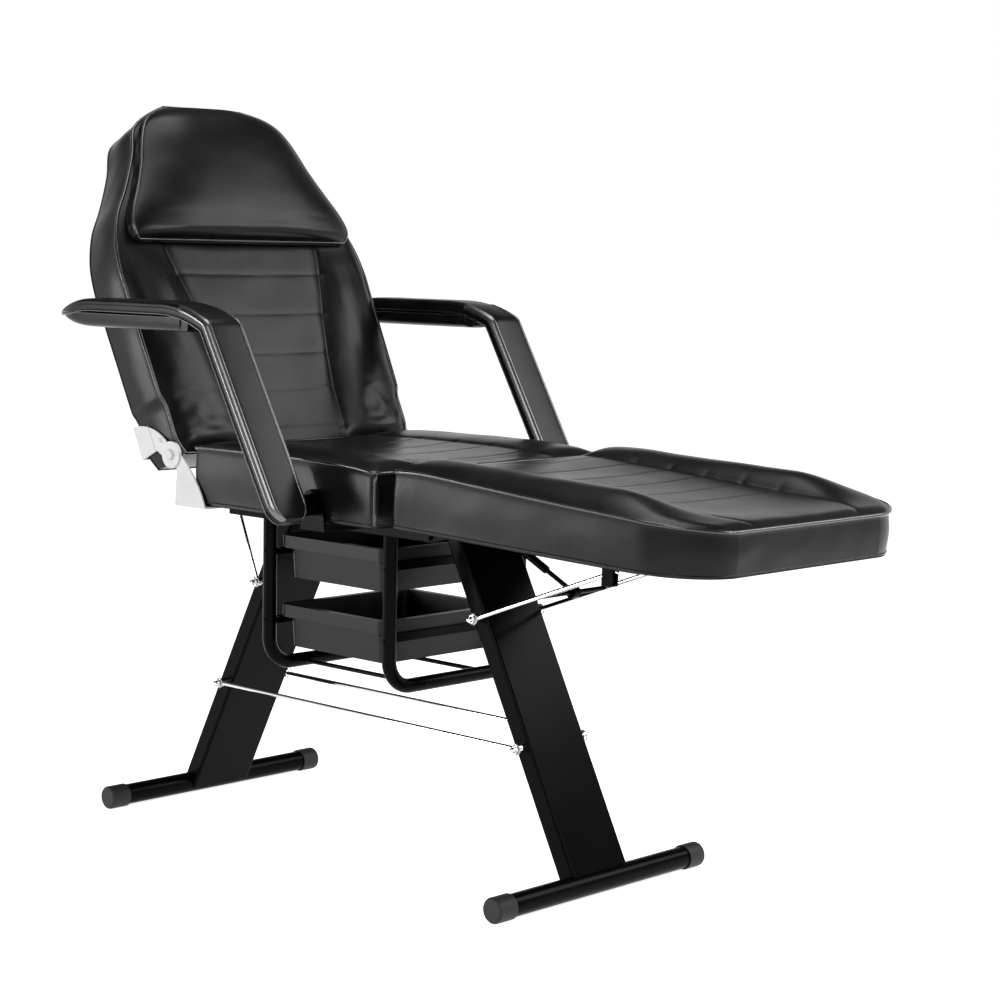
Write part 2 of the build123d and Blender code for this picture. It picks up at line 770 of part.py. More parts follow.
# Head pillow on the upper backrest
pillow_station_shares = (0.0, 0.035, 0.1, 0.35, 0.61, 0.86, 0.95, 1.0)
pillow_width_shares = (0.95, 0.988, 1.0, 0.877, 0.75, 0.602, 0.459, 0.307)
pillow_height_shares = (0.32, 0.68, 0.86, 1.0, 1.0, 0.82, 0.56, 0.26)
pillow_length = pillow_top - pillow_bottom
pillow_half_width = back_half_width - pillow_inset
with BuildPart() as head_pillow:
    for share, wide, tall in zip(pillow_station_shares, pillow_width_shares, pillow_height_shares):
        half = pillow_half_width * wide
        high = pillow_thickness * tall
        edge = high * pillow_edge_share
        with BuildSketch(back_section(pillow_bottom + pillow_length * share, back_front + 2 * side_gap)):
            with BuildLine():
                Line((cushion_tuck - half, 0), (half - cushion_tuck, 0))
                ThreePointArc((half - cushion_tuck, 0), (half, edge / 2), (half - cushion_tuck, edge))
                ThreePointArc((half - cushion_tuck, edge), (0, high), (cushion_tuck - half, edge))
                ThreePointArc((cushion_tuck - half, edge), (-half, edge / 2), (cushion_tuck - half, 0))
            make_face()
    loft()
head_pillow.part.label = "head_pillow"
export_step(head_pillow.part, "parts/head_pillow.step")

# Back stay brackets on the board, with their pins, and the telescopic stays
stay_pin = back_hinge + back_up * back_stay_pin_height + back_out * (back_board_rear - back_stay_pin_depth)
stay_run = Vector(stay_pin.X - back_stay_foot[0], 0, stay_pin.Z - back_stay_foot[1])
stay_dir = stay_run.normalized()
stay_ear_inner = back_stay_sleeve_radius + side_gap
stay_ear_outer = stay_ear_inner + plate_thickness
with BuildPart() as stay_brackets:
    with BuildSketch(back_sheet(back_board_rear)):
        with Locations((rod_y, back_stay_pin_height)):
            RectangleRounded(2 * (stay_ear_outer + eye_radius), 2 * stay_ear_outer, plate_thickness)
    extrude(amount=-plate_thickness)
    for ear_y in (rod_y + stay_ear_outer, rod_y - stay_ear_inner):
        with BuildSketch(back_side(ear_y)):
            with BuildLine():
                Polyline(
                    (back_board_rear - back_stay_pin_depth, back_stay_pin_height + eye_radius),
                    (back_board_rear - plate_thickness, back_stay_pin_height + stay_ear_outer),
                    (back_board_rear - plate_thickness, back_stay_pin_height - stay_ear_outer),
                    (back_board_rear - back_stay_pin_depth, back_stay_pin_height - eye_radius),
                )
                ThreePointArc(
                    (back_board_rear - back_stay_pin_depth, back_stay_pin_height - eye_radius),
                    (back_board_rear - back_stay_pin_depth - eye_radius, back_stay_pin_height),
                    (back_board_rear - back_stay_pin_depth, back_stay_pin_height + eye_radius),
                )
            make_face()
        extrude(amount=plate_thickness)
    with BuildSketch(back_side(rod_y + stay_ear_outer + plate_thickness)):
        with Locations((back_board_rear - back_stay_pin_depth, back_stay_pin_height)):
            Circle(rod_radius)
    extrude(amount=2 * (stay_ear_outer + plate_thickness))
    mirror(about=Plane.XZ)
stay_brackets.part.label = "back_stay_brackets"
export_step(stay_brackets.part, "parts/back_stay_brackets.step")

sleeve_plane = Plane(origin=stay_pin + Vector(0, rod_y, 0), x_dir=(0, 1, 0), z_dir=stay_dir * -1)
with BuildPart() as stay_sleeve:
    with BuildSketch(sleeve_plane):
        Circle(back_stay_sleeve_radius)
    extrude(amount=back_stay_sleeve_length)
    with BuildSketch(side_plane(rod_y + back_stay_sleeve_radius)):
        with Locations((stay_pin.X, stay_pin.Z)):
            Circle(back_stay_sleeve_radius)
    extrude(amount=2 * back_stay_sleeve_radius)
    with BuildSketch(sleeve_plane.offset(eye_radius)):
        Circle(back_stay_bore_radius)
    extrude(amount=back_stay_sleeve_length, mode=Mode.SUBTRACT)
    with BuildSketch(side_plane(rod_y + 2 * back_stay_sleeve_radius)):
        with Locations((stay_pin.X, stay_pin.Z)):
            Circle(rod_radius + running_gap)
    extrude(amount=4 * back_stay_sleeve_radius, mode=Mode.SUBTRACT)
save_pair(stay_sleeve, "back_stay_sleeve")

stay_angle = stay_dir.get_angle(Vector(1, 0, 0))
stay_rod = rod_with_eye(back_stay_foot, stay_angle, back_stay_rod_length)
save_pair(stay_rod, "back_stay_rod")

# Leg rest frame of reference: along it and up from it, at its hinge
rest_along = Vector(cos(radians(leg_rest_tilt)), 0, -sin(radians(leg_rest_tilt)))
rest_up = Vector(sin(radians(leg_rest_tilt)), 0, cos(radians(leg_rest_tilt)))
rest_hinge = Vector(leg_hinge_x, 0, leg_hinge_z)
rest_board_low = leg_rest_underside - cushion_drop
rest_length = leg_rest_end - leg_rest_start
rest_board_start = leg_rest_start + board_inset
rest_board_end = leg_rest_end - board_inset


def rest_section(along, up):
    """A cross-section plane of the leg rest, X across and Y up."""
    return Plane(origin=rest_hinge + rest_along * along + rest_up * up, x_dir=(0, 1, 0), z_dir=rest_along)


def rest_sheet(up):
    """A plane parallel to the leg rest's board, X along it and Y across."""
    return Plane(origin=rest_hinge + rest_up * up, x_dir=rest_along, z_dir=rest_up)


def rest_side(outer_y):
    """The leg rest seen from its side, X along it and Y up, extruding inward."""
    return Plane(origin=rest_hinge + Vector(0, outer_y, 0), x_dir=rest_along, z_dir=(0, -1, 0))


def rest_plan(start, end, half_width, corner, rear_corner):
    """The leg rest's outline from above, with large corners at the foot end."""
    with BuildSketch(mode=Mode.PRIVATE) as plan:
        with Locations(((start + end) / 2, 0)):
            Rectangle(end - start, 2 * half_width)
        fillet(plan.vertices().group_by(Axis.X)[-1], corner)
        fillet(plan.vertices().group_by(Axis.X)[0], rear_corner)
    add(plan.sketch_local)


with BuildPart() as rest_board:
    with BuildSketch(rest_sheet(rest_board_low)):
        rest_plan(
            rest_board_start,
            rest_board_end,
            bed_half_width - board_inset,
            leg_rest_corner - board_inset,
            leg_rest_rear_corner,
        )
    extrude(amount=board_thickness)
rest_board.part.label = "leg_rest_board"
export_step(rest_board.part, "parts/leg_rest_board.step")

rest_station_shares = (0.0, 0.1, 0.3, 0.55, 0.8, 0.9, 0.96, 1.0)
rest_width_shares = (1.0, 0.997, 0.993, 0.993, 0.998, 1.0, 1.0, 1.0)
rest_height_shares = (0.97, 1.0, 0.949, 0.886, 0.825, 0.794, 0.770, 0.743)
rest_rise_shares = (0.4, 0.9, 1.1, 1.45, 1.55, 1.3, 0.7, 0.2)
rest_panel_shares = (0.56, 0.57, 0.59, 0.6, 0.6, 0.56, 0.5, 0.45)
rest_channel_shares = (0.09, 0.21, 0.33, 0.45, 0.57, 0.69)
with BuildPart() as rest_cushion:
    for share, wide, tall, rise, panel in zip(
        rest_station_shares, rest_width_shares, rest_height_shares, rest_rise_shares, rest_panel_shares
    ):
        with BuildSketch(rest_section(leg_rest_start + rest_length * share, leg_rest_underside)):
            cushion_profile(
                bed_half_width * wide,
                leg_rest_thickness * tall,
                bolster_rise * rise,
                bed_half_width * panel,
            )
    loft()
    with BuildSketch(rest_sheet(leg_rest_underside)):
        rest_plan(leg_rest_start, leg_rest_end, bed_half_width, leg_rest_corner, leg_rest_rear_corner)
    extrude(amount=2 * leg_rest_thickness, mode=Mode.INTERSECT)
    for share in rest_channel_shares:
        with BuildSketch(rest_section(leg_rest_start + rest_length * share, leg_rest_underside)):
            channel_profile(
                leg_rest_thickness * between(rest_station_shares, rest_height_shares, share),
                bed_half_width * between(rest_station_shares, rest_panel_shares, share),
            )
        extrude(amount=channel_width / 2, both=True, mode=Mode.SUBTRACT)
    with BuildSketch(rest_sheet(rest_board_low)):
        rest_plan(
            rest_board_start - soft_gap,
            rest_board_end + soft_gap,
            bed_half_width - board_inset + soft_gap,
            leg_rest_corner - board_inset + soft_gap,
            leg_rest_rear_corner,
        )
    extrude(amount=board_thickness + soft_gap, mode=Mode.SUBTRACT)
rest_cushion.part.label = "leg_rest_cushion"
export_step(rest_cushion.part, "parts/leg_rest_cushion.step")

# Leg rest hinge arms, outside the seat rails, and their pins
rest_ear_inner = rail_y + rail_size / 2 + side_gap
rest_ear_outer = rest_ear_inner + arm_bracket_thickness
with BuildPart() as rest_ears:
    with BuildSketch(rest_side(rest_ear_outer)):
        with BuildLine():
            Polyline(
                (0, rest_ear_radius),
                (rest_board_start, rest_board_low),
                (rest_board_start + rest_ear_base_length, rest_board_low),
                (rest_board_start + rest_ear_base_length, rest_board_low - plate_thickness),
                (0, -rest_ear_radius),
            )
            ThreePointArc((0, -rest_ear_radius), (-rest_ear_radius, 0), (0, rest_ear_radius))
        make_face()
    extrude(amount=arm_bracket_thickness)
    with BuildSketch(rest_side(rest_ear_outer + rail_size)):
        with BuildLine():
            Polyline(
                (rest_board_start, rest_board_low),
                (rest_board_start + rest_ear_base_length, rest_board_low),
                (rest_board_start + rest_ear_base_length, rest_board_low - plate_thickness),
                (rest_board_start, rest_board_low - plate_thickness),
                close=True,
            )
        make_face()
    extrude(amount=rail_size)
    with BuildSketch(rest_side(rest_ear_outer + cut_overrun)):
        Circle(hinge_bolt_radius + running_gap)
    extrude(amount=4 * cut_overrun, mode=Mode.SUBTRACT)
    mirror(about=Plane.XZ)
rest_ears.part.label = "leg_rest_hinge_arms"
export_step(rest_ears.part, "parts/leg_rest_hinge_arms.step")

with BuildPart() as rest_pins:
    with BuildSketch(side_plane(rest_ear_outer + side_gap + hinge_head_height)):
        with Locations((leg_hinge_x, leg_hinge_z)):
            Circle(hinge_head_radius)
    extrude(amount=hinge_head_height)
    with BuildSketch(side_plane(rest_ear_outer + side_gap)):
        with Locations((leg_hinge_x, leg_hinge_z)):
            Circle(hinge_bolt_radius)
    extrude(amount=rest_ear_outer + side_gap - crossbar_half)
    mirror(about=Plane.XZ)
rest_pins.part.label = "leg_rest_hinge_pins"
export_step(rest_pins.part, "parts/leg_rest_hinge_pins.step")

# Leg stay: two rods, their crossbar, and the straps that guide them under the leg rest
leg_stay_rod = rod_with_eye(leg_stay_foot, leg_stay_angle, leg_stay_length)
save_pair(leg_stay_rod, "leg_stay_rod")

cross_x = leg_stay_foot[0] + leg_stay_cross * cos(radians(leg_stay_angle))
cross_z = leg_stay_foot[1] + leg_stay_cross * sin(radians(leg_stay_angle))
with BuildPart() as stay_crossbar:
    with BuildSketch(Plane.XZ):
        with Locations((cross_x, cross_z)):
            Circle(rod_radius)
    extrude(amount=rod_y - rod_radius, both=True)
stay_crossbar.part.label = "leg_stay_crossbar"
export_step(stay_crossbar.part, "parts/leg_stay_crossbar.step")

guide_offset = Vector(leg_stay_foot[0] - leg_hinge_x, 0, leg_stay_foot[1] - leg_hinge_z)
guide_rise = (guide_reach - guide_offset.dot(rest_along)) * tan(radians(leg_stay_angle + leg_rest_tilt))
guide_rod_up = guide_offset.dot(rest_up) + guide_rise
guide_slot_half = rod_radius + guide_side_gap
guide_low = guide_rod_up - rod_radius - guide_room_below
guide_inner = rod_y - guide_slot_half
guide_outer = rod_y + guide_slot_half
guide_foot_low = rest_board_low - plate_thickness
with BuildPart() as stay_guides:
    with BuildSketch(rest_section(guide_reach - guide_strip_width / 2, 0)):
        with BuildLine():
            Polyline(
                (guide_outer + plate_thickness + guide_foot_width, rest_board_low),
                (guide_outer, rest_board_low),
                (guide_outer, guide_low),
                (guide_inner, guide_low),
                (guide_inner, rest_board_low),
                (guide_inner - plate_thickness - guide_foot_width, rest_board_low),
                (guide_inner - plate_thickness - guide_foot_width, guide_foot_low),
                (guide_inner - plate_thickness, guide_foot_low),
                (guide_inner - plate_thickness, guide_low - plate_thickness),
                (guide_outer + plate_thickness, guide_low - plate_thickness),
                (guide_outer + plate_thickness, guide_foot_low),
                (guide_outer + plate_thickness + guide_foot_width, guide_foot_low),
                close=True,
            )
        make_face()
    extrude(amount=guide_strip_width)
    mirror(about=Plane.XZ)
stay_guides.part.label = "leg_stay_guides"
export_step(stay_guides.part, "parts/leg_stay_guides.step")

# Telescopic strut from the seat frame to the leg stay's crossbar
strut_run = Vector(cross_x - strut_x, 0, cross_z - leg_hinge_z)
strut_dir = strut_run.normalized()
strut_plane = Plane(origin=(strut_x, 0, leg_hinge_z), x_dir=(0, 1, 0), z_dir=strut_dir)
ring_bore = rod_radius + strut_ring_clear
with BuildPart() as strut_barrel:
    with BuildSketch(strut_plane):
        Circle(strut_barrel_radius)
    extrude(amount=strut_barrel_length)
    with BuildSketch(side_plane(strut_barrel_radius)):
        with Locations((strut_x, leg_hinge_z)):
            Circle(eye_radius - side_gap)
    extrude(amount=2 * strut_barrel_radius)
    with BuildSketch(strut_plane.offset(eye_radius + strut_ring_wall)):
        Circle(rod_radius + running_gap)
    extrude(amount=strut_barrel_length, mode=Mode.SUBTRACT)
    with BuildSketch(Plane.XZ):
        with Locations((strut_x, leg_hinge_z)):
            Circle(rod_radius + running_gap)
    extrude(amount=2 * strut_barrel_radius, both=True, mode=Mode.SUBTRACT)
strut_barrel.part.label = "strut_barrel"
export_step(strut_barrel.part, "parts/strut_barrel.step")

ring_plane = Plane(origin=(cross_x, 0, cross_z), x_dir=(0, 1, 0), z_dir=strut_dir * -1)
with BuildPart() as strut_rod:
    with BuildSketch(ring_plane):
        Circle(rod_radius)
    extrude(amount=strut_rod_length)
    with BuildSketch(Plane.XZ):
        with Locations((cross_x, cross_z)):
            Circle(ring_bore + strut_ring_wall)
    extrude(amount=strut_barrel_radius, both=True)
    with BuildSketch(Plane.XZ):
        with Locations((cross_x, cross_z)):
            Circle(ring_bore)
    extrude(amount=2 * strut_barrel_radius, both=True, mode=Mode.SUBTRACT)
strut_rod.part.label = "strut_rod"
export_step(strut_rod.part, "parts/strut_rod.step")

# Release handle: a flat bail on two ears under the leg rest
handle_z = rest_board_low - handle_drop
handle_end = handle_rear + handle_reach
with BuildPart() as release_handle:
    with BuildSketch(rest_sheet(handle_z - handle_thickness / 2)):
        with Locations(((handle_rear + handle_end) / 2, 0)):
            RectangleRounded(
                handle_reach + 2 * handle_strip, handle_width, handle_strip * handle_bend_share
            )
            RectangleRounded(
                handle_reach, handle_width - 2 * handle_strip, handle_strip, mode=Mode.SUBTRACT
            )
    extrude(amount=handle_thickness)
    with BuildSketch(rest_side(handle_width / 2)):
        with Locations((handle_end, handle_z)):
            Circle(2 * handle_pivot_radius)
    extrude(amount=handle_width)
    with BuildSketch(rest_side(handle_width)):
        with Locations((handle_end, handle_z)):
            Circle(handle_pivot_radius + running_gap)
    extrude(amount=2 * handle_width, mode=Mode.SUBTRACT)
release_handle.part.label = "release_handle"
export_step(release_handle.part, "parts/release_handle.step")

handle_ear_y = handle_width / 2 + side_gap
with BuildPart() as handle_bracket:
    with BuildSketch(rest_side(handle_ear_y + plate_thickness)):
        with BuildLine():
            Polyline(
                (handle_end - 2 * handle_strip, rest_board_low),
                (handle_end + 2 * handle_strip, rest_board_low),
                (handle_end + handle_strip, handle_z),
            )
            ThreePointArc(
                (handle_end + handle_strip, handle_z),
                (handle_end, handle_z - handle_strip),
                (handle_end - handle_strip, handle_z),
            )
            Line((handle_end - handle_strip, handle_z), (handle_end - 2 * handle_strip, rest_board_low))
        make_face()
    extrude(amount=plate_thickness)
    with BuildSketch(rest_side(handle_ear_y + plate_thickness)):
        with Locations((handle_end, handle_z)):
            Circle(handle_pivot_radius)
    extrude(amount=handle_ear_y + plate_thickness)
    mirror(about=Plane.XZ)
handle_bracket.part.label = "handle_bracket"
export_step(handle_bracket.part, "parts/handle_bracket.step")

# Arm brackets: a flat bar under the seat that turns up outside it, with the pivot bolt
arm_inner = back_half_width + arm_gap
arm_pivot_x = seat_rear_x + arm_pivot_reach
arm_outer = arm_inner + arm_width
bracket_low = leg_top_z + rail_size / 2
bracket_in = bed_half_width + 2 * soft_gap
bracket_out = bracket_in + arm_bracket_thickness
bracket_round = arm_bracket_width / 2 - cushion_drop
with BuildPart() as arm_bracket:
    with BuildSketch(side_plane(bracket_out)):
        with BuildLine():
            Polyline(
                (arm_pivot_x - bracket_round, arm_pivot_z),
                (arm_pivot_x - arm_bracket_width / 2, bracket_low),
                (arm_pivot_x + arm_bracket_width / 2, bracket_low),
                (arm_pivot_x + bracket_round, arm_pivot_z),
            )
            ThreePointArc(
                (arm_pivot_x + bracket_round, arm_pivot_z),
                (arm_pivot_x, arm_pivot_z + bracket_round),
                (arm_pivot_x - bracket_round, arm_pivot_z),
            )
        make_face()
    extrude(amount=arm_bracket_thickness)
    with BuildSketch(side_plane(bracket_out)):
        with Locations((arm_pivot_x, bracket_low + arm_bracket_thickness / 2)):
            Rectangle(arm_bracket_width, arm_bracket_thickness)
    extrude(amount=bracket_out - rail_y - rail_size / 2)
    with BuildSketch(side_plane(bracket_out + cut_overrun)):
        with Locations((arm_pivot_x, arm_pivot_z)):
            Circle(hinge_bolt_radius)
    extrude(amount=2 * cut_overrun, mode=Mode.SUBTRACT)
save_pair(arm_bracket, "arm_bracket")

bolt_reach = arm_inner + arm_width / 2
with BuildPart() as arm_bolts:
    with BuildSketch(side_plane(bolt_reach)):
        with Locations((arm_pivot_x, arm_pivot_z)):
            Circle(hinge_bolt_radius)
    extrude(amount=bolt_reach - bracket_in)
    mirror(about=Plane.XZ)
arm_bolts.part.label = "arm_pivot_bolts"
export_step(arm_bolts.part, "parts/arm_pivot_bolts.step")

# Armrests: a flat steel bar bent at the elbow, a padded cover over it and a pad under it
limb_dir = (sin(radians(arm_limb_lean)), -cos(radians(arm_limb_lean)))
limb_out = (cos(radians(arm_limb_lean)), sin(radians(arm_limb_lean)))
limb_front = (
    arm_pivot_x + limb_out[0] * arm_thickness / 2,
    arm_pivot_z + limb_out[1] * arm_thickness / 2,
)
limb_rise = (arm_top_z - limb_front[1]) / -limb_dir[1]
elbow_x = limb_front[0] - limb_dir[0] * limb_rise
arm_underside_z = arm_top_z - arm_thickness


def limb_point(depth, run):
    """A point behind the limb's front face by a depth, a run below the elbow's corner."""
    return (
        elbow_x + limb_dir[0] * run - limb_out[0] * depth,
        arm_top_z + limb_dir[1] * run - limb_out[1] * depth,
    )


def elbow_corner(depth):
    """The sharp corner of a line that runs at a depth under the arm's outer face."""
    turn = radians(90 - arm_limb_lean) / 2
    return (elbow_x - depth * tan(turn), arm_top_z - depth)


def arm_band(outer, inner, rear_x, run):
    """A bent band of the armrest between two depths, from a rear end to the limb's end."""
    with BuildSketch(mode=Mode.PRIVATE) as band:
        with BuildLine() as outline:
            Polyline(
                (rear_x, arm_top_z - outer),
                elbow_corner(outer),
                limb_point(outer, run),
                limb_point(inner, run),
                elbow_corner(inner),
                (rear_x, arm_top_z - inner),
                close=True,
            )
        make_face(outline.edges())
        fillet(band.vertices().sort_by_distance((*elbow_corner(outer), 0))[0], arm_elbow_round - outer)
        fillet(band.vertices().sort_by_distance((*elbow_corner(inner), 0))[0], arm_elbow_round - inner)
    add(band.sketch_local)


cover_run = limb_rise + arm_foot
tip_length = arm_thickness * arm_tip_length_share
tip_drop = arm_thickness * arm_tip_drop_share
cover_rear_x = arm_tip_x + tip_length
pad_rear_x = arm_tip_x + arm_thickness * arm_pad_inset_share
pad_underside_z = arm_underside_z - arm_pad_drop
pad_nose_x = pad_rear_x + arm_thickness * arm_pad_nose_share
pad_nose_z = pad_underside_z + arm_pad_drop * arm_pad_nose_drop_share
bar_center_y = arm_inner + arm_width / 2
bar_rear_x = pad_rear_x + arm_thickness * arm_bar_inset_share
with BuildPart() as arm_bar:
    with BuildSketch(side_plane(bar_center_y + arm_bar_width / 2)):
        arm_band(arm_thickness - arm_bar_thickness, arm_thickness, bar_rear_x, limb_rise)
    extrude(amount=arm_bar_width)
    with BuildSketch(side_plane(bar_center_y + arm_bar_width / 2)):
        with Locations((arm_pivot_x, arm_pivot_z)):
            Circle(arm_tube_radius)
    extrude(amount=bar_center_y + arm_bar_width / 2 - arm_inner + side_gap)
    with BuildSketch(side_plane(arm_inner - soft_gap)):
        with Locations((arm_pivot_x, arm_pivot_z)):
            Circle(arm_boss_radius)
    extrude(amount=arm_inner - 2 * soft_gap - bracket_out)
    with BuildSketch(side_plane(bolt_reach + side_gap)):
        with Locations((arm_pivot_x, arm_pivot_z)):
            Circle(hinge_bolt_radius + running_gap)
    extrude(amount=bolt_reach, mode=Mode.SUBTRACT)
save_pair(arm_bar, "arm_bar")

with BuildPart() as arm_cover:
    with BuildSketch(side_plane(arm_outer)) as cover_outline:
        arm_band(0, arm_thickness, cover_rear_x, cover_run)
        with BuildLine():
            Polyline(
                (cover_rear_x, arm_top_z),
                (cover_rear_x, arm_underside_z),
                (pad_rear_x, arm_underside_z),
                (pad_rear_x - arm_thickness * arm_tip_under_share, arm_top_z - tip_drop),
                (arm_tip_x, arm_top_z - tip_drop),
            )
            ThreePointArc(
                (arm_tip_x, arm_top_z - tip_drop),
                (arm_tip_x + tip_length * arm_tip_arc_share, arm_top_z - tip_drop * arm_tip_arc_drop_share),
                (cover_rear_x, arm_top_z),
            )
        make_face()
        fillet(cover_outline.vertices().sort_by_distance((*limb_point(0, cover_run), 0))[0], arm_end_round)
        inner_end = (*limb_point(arm_thickness, cover_run), 0)
        fillet(cover_outline.vertices().sort_by_distance(inner_end)[0], arm_end_round)
        fillet(cover_outline.vertices().sort_by(Axis.X)[0], arm_tip_round)
    extrude(amount=arm_width)
    fillet(arm_cover.faces().filter_by(Axis.Y).edges(), arm_edge_round)
    with BuildSketch(side_plane(bar_center_y + arm_bar_width / 2 + arm_bar_gap)):
        arm_band(
            arm_thickness - arm_bar_thickness - arm_bar_gap,
            arm_thickness + cut_overrun,
            bar_rear_x - arm_bar_gap,
            limb_rise + arm_bar_gap,
        )
    extrude(amount=arm_bar_width + 2 * arm_bar_gap, mode=Mode.SUBTRACT)
    with BuildSketch(side_plane(bar_center_y + arm_bar_width / 2 + arm_bar_gap)):
        with Locations((arm_pivot_x, arm_pivot_z)):
            Circle(arm_tube_radius + arm_bar_gap)
    extrude(amount=arm_width, mode=Mode.SUBTRACT)
save_pair(arm_cover, "arm_cover")

with BuildPart() as arm_pad:
    with BuildSketch(side_plane(arm_outer)):
        with BuildLine():
            Polyline(
                (pad_rear_x, arm_underside_z - soft_gap),
                (pad_rear_x + arm_pad_length, arm_underside_z - soft_gap),
                (pad_rear_x + arm_pad_length, pad_underside_z),
                (pad_rear_x + arm_thickness, pad_underside_z),
            )
            ThreePointArc(
                (pad_rear_x + arm_thickness, pad_underside_z),
                (pad_nose_x, pad_nose_z),
                (pad_rear_x, arm_underside_z - soft_gap),
            )
        make_face()
    extrude(amount=arm_width)
    fillet(arm_pad.edges().filter_by(Axis.X).group_by(Axis.Z)[0], arm_edge_round)
save_pair(arm_pad, "arm_under_pad")

with BuildPart() as arm_end_block:
    with BuildSketch(side_plane(arm_outer - arm_edge_round)):
        with Locations((pad_rear_x + arm_pad_length + soft_gap, pad_underside_z + arm_edge_round)):
            Rectangle(arm_end_block_depth, arm_end_block_depth, align=(Align.MIN, Align.MIN))
    extrude(amount=arm_width - 2 * arm_edge_round)
    fillet(arm_end_block.edges().filter_by(Axis.Y), cushion_tuck)
save_pair(arm_end_block, "arm_pad_end")

# Tray rack: two bent U tubes under the seat rails, tied by two rods
rack_rear_x = seat_rear_x + rack_rear_inset
rack_front_x = seat_front_x - rack_front_inset
for end, tube_x in (("rear", rack_rear_x), ("front", rack_front_x)):
    with BuildPart() as rack_tube:
        with BuildLine(Plane.YZ.offset(tube_x)) as rack_path:
            FilletPolyline(
                (-rail_y, leg_top_z),
                (-rail_y, rack_bottom_z),
                (rail_y, rack_bottom_z),
                (rail_y, leg_top_z),
                radius=rack_bend,
            )
        with BuildSketch(Plane(origin=(tube_x, -rail_y, leg_top_z), x_dir=(1, 0, 0), z_dir=(0, 0, -1))):
            Circle(rack_tube_radius)
            Circle(rack_tube_radius - rack_tube_wall, mode=Mode.SUBTRACT)
        sweep()
    rack_tube.part.label = "rack_tube_" + end
    export_step(rack_tube.part, "parts/rack_tube_" + end + ".step")

with BuildPart() as rack_rods:
    with BuildSketch(Plane.YZ.offset(rack_rear_x + rack_tube_radius)):
        with Locations((-rack_rod_spacing / 2, rack_bottom_z), (rack_rod_spacing / 2, rack_bottom_z)):
            Circle(rod_radius)
    extrude(amount=rack_front_x - rack_rear_x - 2 * rack_tube_radius)
rack_rods.part.label = "rack_rods"
export_step(rack_rods.part, "parts/rack_rods.step")

# Tray runners: angle strips on the rack tubes; the trays hang on them by their rims
runner_half = rail_y - rack_tube_radius
tray_low_rim_z = tray_top_z - tray_rim
tray_rear_x = rack_rear_x + rack_tube_radius + tray_gap
tray_front_x = rack_front_x - rack_tube_radius - tray_gap
tray_levels = (("upper", 0), ("lower", tray_pitch))
with BuildPart() as tray_runners:
    for level, drop in tray_levels:
        runner_z = tray_low_rim_z - drop - soft_gap
        for edge_x, way in ((rack_rear_x + rack_tube_radius, 1), (rack_front_x - rack_tube_radius, -1)):
            with BuildSketch(Plane.XZ):
                with BuildLine():
                    Polyline(
                        (edge_x, runner_z),
                        (edge_x + way * runner_lip, runner_z),
                        (edge_x + way * runner_lip, runner_z - runner_thickness),
                        (edge_x + way * runner_thickness, runner_z - runner_thickness),
                        (edge_x + way * runner_thickness, runner_z - runner_lip),
                        (edge_x, runner_z - runner_lip),
                        close=True,
                    )
                make_face()
            extrude(amount=rail_y, both=True)
tray_runners.part.label = "tray_runners"
export_step(tray_runners.part, "parts/tray_runners.step")

for level, drop in tray_levels:
    rim_top_z = tray_top_z - drop
    body_rear_x = tray_rear_x + tray_lip
    body_front_x = tray_front_x - tray_lip
    body_half = tray_half_width - tray_lip
    center_x = (body_rear_x + body_front_x) / 2
    with BuildPart() as tray:
        with BuildSketch(Plane.XY.offset(rim_top_z)):
            with Locations((center_x, 0)):
                RectangleRounded(body_front_x - body_rear_x, 2 * body_half, tray_corner)
        extrude(amount=-tray_depth, taper=tray_taper)
        with BuildSketch(Plane.XY.offset(rim_top_z)):
            with Locations((center_x, 0)):
                RectangleRounded(tray_front_x - tray_rear_x, 2 * tray_half_width, tray_corner)
        extrude(amount=-tray_wall)
        with BuildSketch(Plane.XY.offset(rim_top_z)):
            with Locations((center_x, 0)):
                RectangleRounded(tray_front_x - tray_rear_x, 2 * tray_half_width, tray_corner)
                RectangleRounded(
                    tray_front_x - tray_rear_x - 2 * tray_wall,
                    2 * (tray_half_width - tray_wall),
                    tray_corner - tray_wall,
                    mode=Mode.SUBTRACT,
                )
        extrude(amount=-tray_rim)
        with BuildSketch(Plane.XY.offset(rim_top_z)):
            with Locations((center_x, 0)):
                RectangleRounded(
                    body_front_x - body_rear_x - 2 * tray_wall,
                    2 * (body_half - tray_wall),
                    tray_corner - tray_wall,
                )
        extrude(amount=tray_wall - tray_depth, taper=tray_taper, mode=Mode.SUBTRACT)
    tray.part.label = "tray_" + level
    export_step(tray.part, "parts/tray_" + level + ".step")
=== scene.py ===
"""Dresses the folding tattoo and salon chair: upholstery, piping, coated steel and studio."""

import json
import logging
from dataclasses import dataclass, field
from enum import Enum
from math import cos, exp, hypot, pi, radians, sin, sqrt, tan
from typing import Iterable, Sequence

import bpy
from mathutils import Matrix, Vector, noise


